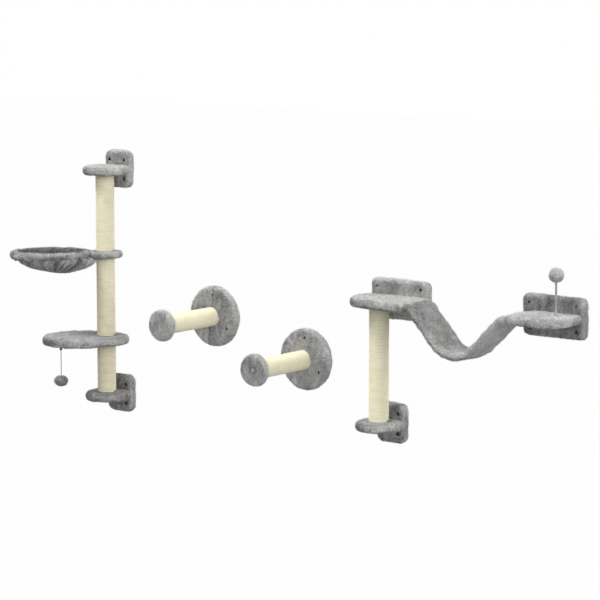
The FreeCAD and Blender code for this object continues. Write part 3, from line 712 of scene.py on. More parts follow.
def noise_vectors(points: np.ndarray, scale: float, seed: float = 0.0) -> np.ndarray:
    """A smooth random vector at each point.

    Args:
        points: Places, one in a row.
        scale: Waves in a metre.
        seed: Moves the noise.

    Returns:
        One vector for each point.
    """
    return np.stack([noise_field(points, scale, seed + shift) for shift in (0.0, 31.7, 71.3)], 1)


def everywhere(points: np.ndarray, normals: np.ndarray) -> np.ndarray:
    """Full pile at each point."""
    return np.ones(len(points))


def off_the_wall(points: np.ndarray, normals: np.ndarray) -> np.ndarray:
    """No pile where a piece lies on the wall."""
    return np.where(points[:, 1] > -WALL_CONTACT, 0.0, 1.0)


def under_post(points: np.ndarray, normals: np.ndarray) -> np.ndarray:
    """No pile where the tower's post stands, apart from the ring round its stud."""
    away = np.hypot(points[:, 0], points[:, 1] + POST_DISTANCE)
    return np.where((away < POST_RADIUS + POST_MARGIN) & (away > ACCESS_HOLE + STUD_RING), 0.0, 1.0)


def keep(mesh: bpy.types.Mesh, name: str, values: np.ndarray) -> None:
    """Stores a number or a vector for each point of a mesh.

    Args:
        mesh: The mesh.
        name: The attribute's name.
        values: One number or vector in a row.
    """
    kind, key = ("FLOAT", "value") if values.ndim == 1 else ("FLOAT_VECTOR", "vector")
    mesh.attributes.new(name, kind, "POINT").data.foreach_set(key, values.astype(np.float32).ravel())


@dataclass(frozen=True)
class Hole:
    """A round hole that is cut through the cloth."""

    start: Place
    end: Place
    radius: float = ACCESS_HOLE
    margin: float = HOLE_MARGIN

    def cutter(self, made: bmesh.types.BMesh) -> None:
        """Adds the hole's cylinder to a mesh.

        Args:
            made: The mesh of all cutters.
        """
        first, last = Vector(self.start), Vector(self.end)
        turn = (last - first).to_track_quat("Z", "Y").to_matrix().to_4x4()
        place = Matrix.Translation((first + last) / 2) @ turn
        bmesh.ops.create_cone(made, cap_ends=True, segments=16, radius1=self.radius, radius2=self.radius,
                              depth=(last - first).length, matrix=place)

    def away(self, points: np.ndarray) -> np.ndarray:
        """How far each point lies from the hole's axis.

        Args:
            points: Places, one in a row.

        Returns:
            One distance for each point.
        """
        first, last = np.array(self.start), np.array(self.end)
        along = (last - first) / np.linalg.norm(last - first)
        reach = points - first
        return np.linalg.norm(reach - np.outer(reach @ along, along), axis=1)


def shelf_hole(x: float, y: float, level: float, side: int, radius: float = ACCESS_HOLE) -> Hole:
    """A hole from a shelf's board through its cloth.

    Args:
        x: The hole's place along the wall.
        y: Its place from the wall.
        level: The middle of the shelf.
        side: 1 for a hole in the top, -1 for one underneath.
        radius: The hole's radius.

    Returns:
        The hole.
    """
    return Hole((x, y, level + side * SHELF_BOARD_HALF), (x, y, level + side * SHELF_CUT), radius)


def wall_holes(spots: Iterable[Spot], radius: float, margin: float) -> tuple[Hole, ...]:
    """Screw holes through a wall plate.

    Args:
        spots: Their places on the wall.
        radius: Their radius.
        margin: The ring round each that the pile leaves bare.

    Returns:
        The holes.
    """
    return tuple(Hole((x, -PLATE_CUT, z), (x, CUT_PAST, z), radius, margin) for x, z in spots)


@dataclass
class PlushPiece:
    """A plush-covered form: a soft cloth skin with pile on it."""

    name: str
    body: str
    nodes: tuple[str, ...]
    nap: Nap = Nap.DOWN
    finish: Finish = PLUSH
    holes: tuple[Hole, ...] = ()
    voxel: float = 0.0034
    density: float = 300_000.0
    length: float = 0.0072
    width: float = 0.001
    lift: float = 0.48
    ripple: float = 0.0016
    pucker: float = 0.0022
    fill: float = 0.9
    # Painted light and shade on the whole piece: lighter above 0, darker below.
    tint: float = 0.0
    seed: int = 1
    bare: Field = everywhere
    shaping: Field | None = None
    # A change of tone at each point: painted light and shade on most pieces, a seam's dark line and nap on
    # one.
    tone: Field | None = None

    @classmethod
    def covering(cls, part: str, body: str = "wall_set", **settings: Any) -> "PlushPiece":
        """A piece that stands for the cover of a board."""
        return cls(part + "_plush", body, (part + "_cover",), **settings)

    def skin(self, rough: bmesh.types.BMesh) -> bpy.types.Mesh:
        """The slightly bumpy cloth under the pile, in small even faces.

        Args:
            rough: A closed form, which is freed.

        Returns:
            The cloth with its nap marked on it.
        """
        mesh = bpy.data.meshes.new(self.name + "_rough")
        rough.to_mesh(mesh)
        rough.free()
        holder = bpy.data.objects.new("holder", mesh)
        bpy.context.scene.collection.objects.link(holder)
        remesh = holder.modifiers.new("even", "REMESH")
        remesh.mode = "VOXEL"
        remesh.voxel_size = self.voxel
        smooth = holder.modifiers.new("smooth", "SMOOTH")
        smooth.iterations = 3
        smooth.factor = 0.5
        mesh = settle(holder)
        points, normals = self.read(mesh)
        bumps = self.ripple * noise_field(points, BUMP_WAVES[0], self.seed)
        bumps += 0.7 * self.ripple * noise_field(points, BUMP_WAVES[1], self.seed + 5)
        side = 1.0 - np.abs(normals[:, 2])
        bumps += self.pucker * side * noise_field(points, PUCKER_WAVES, self.seed + 9)
        points = points + normals * bumps[:, None]
        if self.shaping:
            points = points + self.shaping(points, normals)
        mesh.vertices.foreach_set("co", points.astype(np.float32).ravel())
        mesh.update()
        if self.holes:
            mesh = self.cut(mesh)
        self.mark(mesh)
        return mesh

    @staticmethod
    def read(mesh: bpy.types.Mesh) -> tuple[np.ndarray, np.ndarray]:
        """The points and normals of a mesh.

        Args:
            mesh: Any mesh.

        Returns:
            Both, one in a row.
        """
        points = np.zeros(len(mesh.vertices) * 3, np.float32)
        normals = np.zeros(len(mesh.vertices) * 3, np.float32)
        mesh.vertices.foreach_get("co", points)
        mesh.vertex_normals.foreach_get("vector", normals)
        return points.reshape(-1, 3).astype(float), normals.reshape(-1, 3).astype(float)

    def cut(self, mesh: bpy.types.Mesh) -> bpy.types.Mesh:
        """Cuts the holes.

        Args:
            mesh: The whole cloth.

        Returns:
            The cloth with its holes.
        """
        cutters = bmesh.new()
        for hole in self.holes:
            hole.cutter(cutters)
        tool = bpy.data.objects.new("cutter", bpy.data.meshes.new("cutter"))
        cutters.to_mesh(tool.data)
        cutters.free()
        holder = bpy.data.objects.new("holder", mesh)
        for thing in (tool, holder):
            bpy.context.scene.collection.objects.link(thing)
        boolean = holder.modifiers.new("holes", "BOOLEAN")
        boolean.operation = "DIFFERENCE"
        boolean.solver = "EXACT"
        boolean.object = tool
        made = settle(holder)
        bpy.data.objects.remove(tool)
        return made

    def mark(self, mesh: bpy.types.Mesh) -> None:
        """Writes the pile's nap, its tone with painted light and shade, and its cover on the cloth.

        Args:
            mesh: The cloth.
        """
        points, normals = self.read(mesh)
        main = np.array(self.nap.value)
        nap = 0.75 * main + noise_vectors(points, LAY_WAVES[0], self.seed)
        nap += 0.9 * noise_vectors(points, LAY_WAVES[1], self.seed + 3)
        streak = STREAK_WAVES - STREAK_DRAWN * np.abs(main) / np.abs(main).max()
        brush = 0.4 * noise_field(points, PATCH_WAVES, self.seed + 7)
        brush += 0.55 * noise_field(points, streak, self.seed + 2)
        # The pile lies evenly on tops and backs.
        calm = 0.9 * np.clip(normals[:, 2], 0, 1) + 0.9 * np.clip(normals[:, 1], 0, 1)
        # Painted light and shade: faces towards the right, top and front are painted lighter, those towards
        # the left, bottom and back darker, and the piece's own painted light or shade is added.
        brush = 0.5 + brush * (1.0 - 0.85 * calm) + normals @ SIDE_PAINTED_LIGHT + self.tint
        if self.tone:
            brush = brush + self.tone(points, normals)
        brush = np.clip(brush, 0.0, 1.0)
        # Cloth without pile is pale, and painted shade darkens the lip of a hole.
        cover = self.bare(points, normals)
        brush = np.where(cover > 0, brush, 1.0)
        for hole in self.holes:
            away = hole.away(points)
            cover = np.where(away < hole.radius + hole.margin, 0.0, cover)
            brush = np.where(away < hole.radius + HOLE_LIP, HOLE_PAINTED_SHADE, brush)
        keep(mesh, "nap", nap)
        keep(mesh, "brush", brush)
        keep(mesh, "cover", cover)

    def build(self, rough: bmesh.types.BMesh, pile: PileTree) -> bpy.types.Object:
        """Makes the finished piece.

        Args:
            rough: A closed form, which is freed.
            pile: The tree that grows the pile.

        Returns:
            The piece, in place on its body.
        """
        return self.dress(self.grow(self.skin(rough), pile, True))

    def grow(self, mesh: bpy.types.Mesh, pile: PileTree, keep_cloth: bool) -> bpy.types.Mesh:
        """Grows the pile on a cloth.

        Args:
            mesh: A cloth with its nap marked on it.
            pile: The tree that grows the pile.
            keep_cloth: Whether the cloth stays in the mesh.

        Returns:
            The plain mesh.
        """
        for polygon in mesh.polygons:
            polygon.use_smooth = True
        made = pile.run(mesh, Density=self.density, Length=self.length, Width=self.width, Lift=self.lift,
                        Seed=self.seed, Keep_Cloth=keep_cloth, Material=self.finish.material())
        for name in ("nap", "cover"):
            if name in made.attributes:
                made.attributes.remove(made.attributes[name])
        return made

    def dress(self, mesh: bpy.types.Mesh, padded: bool = True) -> bpy.types.Object:
        """Puts the finished mesh on its body.

        Args:
            mesh: The plain mesh.
            padded: Whether the piece is padded. Not used.

        Returns:
            The piece.
        """
        piece = put(self.name, mesh, self.body, self.nodes, self.finish)
        return piece


def put(name: str, mesh: bpy.types.Mesh | bpy.types.Curve, body: str, nodes: Iterable[str],
        finish: Finish) -> bpy.types.Object:
    """Makes an object of a mesh or a curve that stands for solids of the frame.

    Args:
        name: The piece's name.
        mesh: A mesh or a curve in the frame's own coordinates.
        body: The body that it rides on.
        nodes: The solids that it stands for.
        finish: Its finish.

    Returns:
        The piece.
    """
    mesh.name = name
    piece = bpy.data.objects.new(name, mesh)
    bpy.context.scene.collection.objects.link(piece)
    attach(piece, body)
    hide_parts(*nodes)
    LOG.info("%s: on %s, with the %s finish", name, body, finish.slot)
    return piece


@dataclass
class Workshop:
    """The trees that every module uses."""

    pile: PileTree = field(default_factory=PileTree)
    winding: WindingTree = field(default_factory=WindingTree)

    def rope(self, name: str, node: str, place: Matrix, length: float, seed: int) -> bpy.types.Object:
        """Winds sisal round one post.

        Args:
            name: The piece's name.
            node: The sleeve that it stands for.
            place: Turns the Z axis onto the post and moves it to the post's start.
            length: The post's length.
            seed: The rope's own unevenness.

        Returns:
            The winding.
        """
        height = length - 2 * ROPE_RADIUS
        mesh = self.winding.run(
            bpy.data.meshes.new(name), Turns=height / (2 * ROPE_RADIUS), Radius=POST_RADIUS - ROPE_RADIUS,
            Height=height, Rope_Radius=ROPE_RADIUS, Waver=ROPE_WAVER, Seed=seed, Material=SISAL.material())
        mesh.transform(place @ Matrix.Translation((0, 0, ROPE_RADIUS)))
        return put(name, mesh, "wall_set", [node], SISAL)


# Turns a slab's thickness, which runs along Z, away from the wall.
ON_WALL = Matrix.Rotation(math.radians(90), 4, "X")


def placed(made: bmesh.types.BMesh, place: Matrix) -> bmesh.types.BMesh:
    """Moves a form.

    Args:
        made: The form.
        place: Where it goes.

    Returns:
        The same form.
    """
    bmesh.ops.transform(made, matrix=place, verts=made.verts)
    return made


def shelf_form(outline: Sequence[Spot], place: Matrix) -> bmesh.types.BMesh:
    """The cloth of a shelf, round along both rims.

    Args:
        outline: Its points counterclockwise from above.
        place: Where its middle goes.

    Returns:
        The shelf's form.
    """
    half = SHELF_HALF - PILE_ROOM
    return placed(slab(outline, -half, half, EDGE_ROUND, EDGE_ROUND), place)


@dataclass
class WallPlate:
    """A plush-covered plate that is screwed to the wall."""

    name: str
    x: float
    z: float
    width: float
    holes: Spot
    corner: float
    seed: int
    # Painted light and shade on the whole plate: lighter above 0, darker below.
    tint: float = 0.0
    hole_radius: float = WALL_HOLE
    hole_margin: float = HOLE_MARGIN

    def build(self, shop: Workshop) -> None:
        """Makes the plate.

        Args:
            shop: The shared trees.
        """
        across, up = self.holes
        spots = [(self.x + sx * across / 2, self.z + sz * up / 2) for sx in (-1, 1) for sz in (-1, 1)]
        inset = 2 * PILE_ROOM
        outline = rounded_rectangle(self.width - inset, PLATE_HEIGHT - inset, self.corner - PILE_ROOM)
        form = slab(outline, 0.0, PLATE_DEPTH - PILE_ROOM, EDGE_ROUND, BACK_ROUND)
        place = Matrix.Translation((self.x, 0, self.z)) @ ON_WALL
        piece = PlushPiece.covering(
            self.name, holes=wall_holes(spots, self.hole_radius, self.hole_margin), seed=self.seed,
            bare=off_the_wall, tint=self.tint)
        piece.build(placed(form, place), shop.pile)


def necked_disc(radius: float, half_neck: float, back: float) -> list[Spot]:
    """A disc about the post with straight sides to its plate.

    Args:
        radius: The disc's radius.
        half_neck: Half of the width at the plate.
        back: How far from the wall the sides start.

    Returns:
        Its points counterclockwise from above.
    """
    rise = POST_DISTANCE - back
    lean = math.degrees(math.atan2(rise, half_neck) - math.acos(radius / math.hypot(half_neck, rise)))
    sweep = whole_arc((0.0, -POST_DISTANCE), radius, 180 - lean, 360 + lean)
    return [(half_neck, -back), (-half_neck, -back), *sweep]


@dataclass
class SmallBracket:
    """A small wall plate with a round shelf that holds a post's end."""

    name: str
    x: float
    z: float
    post_above: bool
    seed: int
    # Painted light and shade on the plate, and four fifths of it on the shelf.
    tint: float = 0.0
    radius: float = 0.080
    half_neck: float = 0.057
    plate_width: float = 0.120
    plate_holes: Spot = (0.070, 0.070)
    plate_corner: float = 0.027

    def build(self, shop: Workshop) -> None:
        """Makes the plate and the shelf.

        Args:
            shop: The shared trees.
        """
        WallPlate(self.name + "_plate", self.x, self.z, self.plate_width, self.plate_holes, self.plate_corner,
                  self.seed, self.tint).build(shop)
        outline = necked_disc(self.radius - PILE_ROOM, self.half_neck - PILE_ROOM, PLATE_DEPTH - SHELF_ROOT)
        hole = shelf_hole(self.x, -POST_DISTANCE, self.z, -1 if self.post_above else 1)
        piece = PlushPiece.covering(self.name + "_shelf", nap=Nap.RIGHT, holes=(hole,), seed=self.seed + 1,
                                    tint=0.8 * self.tint)
        piece.build(shelf_form(outline, Matrix.Translation((self.x, 0, self.z))), shop.pile)


@dataclass
class Tower:
    """The tall sisal post between two small brackets."""

    height: float = 0.845
    platform_level: float = 0.212
    collar_level: float = 0.532

    def build(self, shop: Workshop) -> None:
        """Makes the brackets and winds the post's three sections.

        Args:
            shop: The shared trees.
        """
        # The low bracket's pile is painted darker, as painted shade below the platform and the post.
        SmallBracket("tower_low", 0.0, 0.0, post_above=True, seed=11, tint=-0.55).build(shop)
        SmallBracket("tower_top", 0.0, self.height, post_above=False, seed=21).build(shop)
        sections = (
            ("lower", SHELF_HALF, self.platform_level - SHELF_HALF),
            ("middle", self.platform_level + SHELF_HALF, self.collar_level - COLLAR_HALF),
            ("upper", self.collar_level + COLLAR_HALF, self.height - SHELF_HALF),
        )
        for seed, (name, start, end) in enumerate(sections):
            place = Matrix.Translation((0, -POST_DISTANCE, start))
            shop.rope(f"tower_{name}_rope", f"tower_{name}_sisal", place, end - start, seed)


@dataclass
class Basket:
    """The collar, the hoop's padded rim and the bag that hangs from it."""

    level: float = 0.532
    angle: float = 50.0
    twist: float = 2.0
    reach: float = 0.204
    ring: float = 0.136
    roll: float = 0.013
    pinch: float = 0.0035
    droop: float = 0.017
    depth: float = 0.073
    cloth: float = 0.006
    lean: float = 0.048
    collar_radius: float = 0.064
    collar_round: float = 0.008
    # How far the cloth is drawn towards the post, and how wide a part of it.
    tuck: float = 0.030
    tuck_spread: float = 0.8
    fold_height: float = 0.009
    leg_offset: float = 0.018
    bend: float = 0.015
    lift: float = 0.003
    # Painted light and shade: how much lighter a fold's ridge is painted and darker its crease, the painted
    # shadow below the rim at the bag's mouth, and the painted shade inside it.
    fold_painted_light: float = 0.6
    mouth_painted_shadow: float = 0.7
    inner_painted_shade: float = 0.22
    # Shares of the depth, of the mouth's radius and of the lean, from the mouth down.
    shares: tuple[Place, ...] = (
        (0.0, 1.0, 0.0), (0.3, 0.955, 0.16), (0.52, 0.88, 0.32), (0.72, 0.71, 0.54), (0.88, 0.43, 0.75),
        (1.0, 0.14, 1.0))

    @staticmethod
    def tucked(drop: float) -> float:
        """How much of the cloth is drawn towards the post.

        Args:
            drop: The share of the bag's depth.

        Returns:
            A share of the whole tuck.
        """
        rise = min(1.0, max(0.0, (drop - 0.14) / 0.08))
        fall = min(1.0, max(0.0, (0.95 - drop) / 0.5))
        return rise * fall

    @property
    def place(self) -> Matrix:
        """From the hoop's own plane, with the post at its origin, to the frame."""
        return (Matrix.Translation((0, -POST_DISTANCE, self.level + self.lift))
                @ Matrix.Rotation(math.radians(270 - self.angle), 4, "Z")
                @ Matrix.Rotation(math.radians(self.twist), 4, "X"))

    def profile(self, share: np.ndarray) -> tuple[np.ndarray, np.ndarray, np.ndarray]:
        """The bag's section at shares of the way from its mouth to its bottom.

        Args:
            share: From 0 at the mouth to 1 at the bottom's middle.

        Returns:
            Shares of the depth, of the radius and of the lean.
        """
        rows = np.array([*self.shares, (1.0, 0.0, 1.0)])
        steps = np.concatenate([[0], np.cumsum(np.hypot(np.diff(rows[:, 0]), np.diff(rows[:, 1])))])
        spots = np.linspace(0, steps[-1], 200)
        kernel = np.hanning(43)
        kernel = kernel / kernel.sum()
        even = []
        for column in rows.T:
            fine = np.interp(spots, steps, column)
            padded = np.pad(fine, 21, mode="reflect", reflect_type="odd")
            even.append(np.interp(share * spots[-1], spots, np.convolve(padded, kernel, "valid")))
        return tuple(even)

    @staticmethod
    def fold(turn: float, share: float) -> float:
        """How far a fold of the bag stands out, from about -1 in a crease to 1 on a ridge.

        Args:
            turn: The direction from the hoop's middle.
            share: From 0 at the mouth to 1 at the bottom's middle.

        Returns:
            The fold's height.
        """
        drawn = turn + 0.9 * share
        spot = Vector((math.cos(drawn), math.sin(drawn), 0.25 * share)) * 5.2
        crease = 1.0 - 3.4 * abs(noise.noise(spot))
        return crease + 0.5 * noise.noise(spot * 2.3 + Vector((7, 3, 1)))

    def bag_skin(self) -> tuple[bmesh.types.BMesh, list[float]]:
        """The bag's cloth with its gathered folds, as one closed shell.

        Returns:
            The shell in the frame's own coordinates, and the painted light and shade of each of its points.
        """
        around, down = 220, 34
        share = np.linspace(0.0, 1.0, down)
        drop, wide, shift = self.profile(share)
        made = bmesh.new()
        mouths: list[list[bmesh.types.BMVert]] = []
        painted_shading: list[float] = []
        for room, dark in ((PILE_ROOM, 0.0), (self.cloth, self.inner_painted_shade)):
            mouth, deep = self.ring - room, self.depth - room
            rows = []
            for row in range(down - 1):
                ring = []
                gather = math.sin(math.pi * min(1.0, 0.06 + share[row])) ** 0.6
                for step in range(around):
                    turn = 2 * math.pi * step / around
                    fold = self.fold(turn, share[row])
                    tuck = self.tuck * math.exp(-((turn - math.pi) / self.tuck_spread) ** 2)
                    tuck *= self.tucked(drop[row])
                    radius = mouth * wide[row] + self.fold_height * gather * (fold - 0.6) + tuck
                    x = self.reach - shift[row] * self.lean + radius * math.cos(turn)
                    sunk = 0.4 * self.fold_height * (1.0 - fold) * share[row] * (1.0 - share[row])
                    ring.append(made.verts.new((x, radius * math.sin(turn), -deep * drop[row] + sunk)))
                    # Painted light on the folds' ridges, painted shade in their creases and inside, and a
                    # painted shadow below the rim at the mouth.
                    painted_shading.append(self.fold_painted_light * fold - self.mouth_painted_shadow * math.exp(-drop[row] / 0.2) - dark)
                rows.append(ring)
            pole = made.verts.new((self.reach - shift[-1] * self.lean, 0.0, -deep * drop[-1]))
            painted_shading.append(0.0)
            for above, below in zip(rows, rows[1:]):
                band(made, above, below)
            for step in range(around):
                made.faces.new((rows[-1][step], rows[-1][(step + 1) % around], pole))
            mouths.append(rows[0])
        outer, inner = mouths
        for step in range(around):
            following = (step + 1) % around
            made.faces.new((outer[step], inner[step], inner[following], outer[following]))
        bmesh.ops.recalc_face_normals(made, faces=made.faces)
        return placed(made, self.place), painted_shading

    def rim_line(self) -> list[Vector]:
        """The middle line of the rim: one leg, the ring and the other leg, in the hoop's own plane.

        Returns:
            Its points.
        """
        side = self.leg_offset + self.bend
        back = math.sqrt((self.ring + self.bend) ** 2 - side ** 2)
        gap = math.degrees(math.asin(side / (self.ring + self.bend)))
        start = self.collar_radius * 0.93
        knee = (self.reach - back) * 0.55 + start * 0.45
        leg = [Vector((start, -self.leg_offset, 0.0)), Vector((knee, -self.leg_offset - 0.002, 0.0))]
        turns = np.linspace(180 + gap, 540 - gap, 260)
        ring = [Vector((*on_circle((self.reach, 0.0), self.ring, turn), 0.0)) for turn in turns]
        return [*leg, *ring, *(Vector((spot.x, -spot.y, 0.0)) for spot in reversed(leg))]

    def rim_form(self) -> bmesh.types.BMesh:
        """The padded rim along the hoop, as far as the collar.

        Returns:
            The rim in the frame's own coordinates.
        """
        spots = self.rim_line()
        around = 14
        rings = []
        for index, spot in enumerate(spots):
            ahead = (spots[min(index + 1, len(spots) - 1)] - spots[max(index - 1, 0)]).normalized()
            out = ahead.cross(Vector((0, 0, 1)))
            pinch = abs(noise.noise(spot * 38.0)) + 0.5 * abs(noise.noise(spot * 80.0 + Vector((3, 1, 4))))
            radius = self.roll - PILE_ROOM + self.pinch * (pinch - 0.35)
            ring = []
            for step in range(around):
                turn = 2 * math.pi * step / around
                droop = self.droop * max(0.0, -math.sin(turn)) * (pinch - 0.14)
                up = Vector((0, 0, radius * math.sin(turn) - droop))
                ring.append(spot + out * (radius * math.cos(turn)) + up)
            rings.append(ring)
        return placed(swept_rings(rings), self.place)

    def rim_painted_shading(self, points: np.ndarray, normals: np.ndarray) -> np.ndarray:
        """Painted shade on the rim's inner side.

        Args:
            points: The rim's points.
            normals: Their normals.

        Returns:
            How much lighter the pile is at each point.
        """
        middle = np.array(self.place @ Vector((self.reach, 0.0, 0.0)))
        out = points - middle
        out /= np.linalg.norm(out, axis=1)[:, None]
        return -0.6 * np.clip(-(normals * out).sum(1), 0, 1)

    def build(self, shop: Workshop) -> None:
        """Makes the collar, the rim and the bag.

        Args:
            shop: The shared trees.
        """
        half = COLLAR_HALF - 0.0015
        collar = slab(arc((0.0, 0.0), self.collar_radius - PILE_ROOM, 0, 360), -half, half,
                      self.collar_round, self.collar_round)
        place = Matrix.Translation((0, -POST_DISTANCE, self.level))
        # The collar and the rim are painted darker as shade, the rim's inner side more.
        PlushPiece.covering("basket_collar", "basket", seed=31, voxel=0.003, length=0.005, tint=-0.2,
                            bare=under_post).build(placed(collar, place), shop.pile)
        rim = PlushPiece("basket_rim_plush", "basket", ("basket_bag",), seed=32, voxel=0.003, pucker=0.0008,
                         nap=Nap.OUT, length=0.006, tint=-0.38, tone=self.rim_painted_shading)
        rim_piece = rim.dress(rim.grow(rim.skin(self.rim_form()), shop.pile, True), padded=False)
        self.bag(shop, rim_piece)

    def bag(self, shop: Workshop, rim_piece: bpy.types.Object) -> None:
        """Makes the bag's cloth and its pile, as a sheet that hangs from the hoop.

        Args:
            shop: The shared trees.
            rim_piece: The rim that is sewn to it. Not used.
        """
        # The bag's pile is painted darker as shade.
        bag = PlushPiece("basket_bag_pile", "basket", ("basket_bag",), seed=33, length=0.0055, tint=-0.45)
        cloth = bpy.data.meshes.new("basket_bag_cloth")
        form, painted_shading = self.bag_skin()
        form.to_mesh(cloth)
        form.free()
        bag.mark(cloth)
        # Adds the bag's painted light and shade to the pile's tone.
        brush = np.zeros(len(painted_shading), np.float32)
        cloth.attributes["brush"].data.foreach_get("value", brush)
        brush = np.clip(brush + np.array(painted_shading, np.float32), 0.0, 1.0)
        cloth.attributes["brush"].data.foreach_set("value", brush)
        pile_piece = bag.dress(bag.grow(cloth.copy(), shop.pile, False), padded=False)
        for name in ("nap", "cover"):
            cloth.attributes.remove(cloth.attributes[name])
        cloth.materials.append(PLUSH.material())
        sheet = put("basket_bag_cloth", cloth, "basket", ["basket_bag"], PLUSH)


@dataclass
class Platform:
    """The egg-shaped seat on the tower's post."""

    level: float = 0.212
    angle: float = 46.0
    reach: float = 0.106
    inner_radius: float = 0.083
    outer_radius: float = 0.130
    eye_hole: float = 0.006

    def rim_painted_shading(self, points: np.ndarray, normals: np.ndarray) -> np.ndarray:
        """Painted light and shade: the rim's pile is painted darker on its left than on its right."""
        across = 0.78 * (points[:, 0] + 0.05) + 0.62 * (points[:, 1] + POST_DISTANCE + 0.05)
        return np.clip(across / 0.14, -1, 1) * 0.5 * (1 - np.abs(normals[:, 2]))

    def build(self, shop: Workshop) -> None:
        """Makes the seat.

        Args:
            shop: The shared trees.
        """
        small, large = self.inner_radius - PILE_ROOM, self.outer_radius - PILE_ROOM
        lean = math.degrees(math.asin((large - small) / self.reach))
        outline = [*whole_arc((0.0, 0.0), small, 90 + lean, 270 - lean),
                   *whole_arc((self.reach, 0.0), large, -90 - lean, 90 + lean)]
        turn = Matrix.Rotation(math.radians(270 - self.angle), 4, "Z")
        form = shelf_form(outline, Matrix.Translation((0, -POST_DISTANCE, self.level)) @ turn)
        hole = shelf_hole(Pendant.x, Pendant.y, self.level, -1, self.eye_hole)
        # The seat is painted a little darker as shade, and its rim carries painted light on its right and
        # painted shade on its left.
        PlushPiece.covering("platform", "platform", nap=Nap.RIGHT, seed=41, holes=(hole,), bare=under_post,
                            tint=-0.14, tone=self.rim_painted_shading).build(form, shop.pile)


@dataclass
class Pendant:
    """The ball that hangs from the platform."""

    x: float = -0.0646311
    y: float = -0.2767971
    string_top: float = 0.1849
    string_length: float = 0.092
    string_radius: float = 0.0013
    string_shares: tuple[float, ...] = (0.0, 0.3, 0.7, 1.0)
    radius: float = 0.0255
    half_height: float = 0.020
    room: float = PILE_ROOM + 0.0005

    def build(self, shop: Workshop) -> None:
        """Makes the string and the ball.

        Args:
            shop: The shared trees.
        """
        centre = Vector((self.x, self.y, self.string_top - self.string_length - self.half_height))
        ball = PlushPiece("pendant_ball_plush", "pendant", ("pendant_ball",), finish=PENDANT_PLUSH, seed=51,
                          voxel=0.003, length=0.0065, lift=0.75, density=480_000.0, fill=1.0)
        piece = ball.build(globe(centre, self.radius - self.room, self.half_height - self.room), shop.pile)
        curve = bpy.data.curves.new("pendant_string_cord", "CURVE")
        curve.dimensions = "3D"
        curve.bevel_depth = self.string_radius
        curve.bevel_resolution = 3
        line = curve.splines.new("NURBS")
        line.points.add(len(self.string_shares) - 1)
        for point, drop in zip(line.points, self.string_shares):
            point.co = (self.x, self.y, self.string_top - drop * self.string_length, 1.0)
        line.order_u = 3
        line.use_endpoint_u = True
        curve.materials.append(STRING.material())
        cord = put("pendant_string_cord", curve, "pendant", ["pendant_string"], STRING)


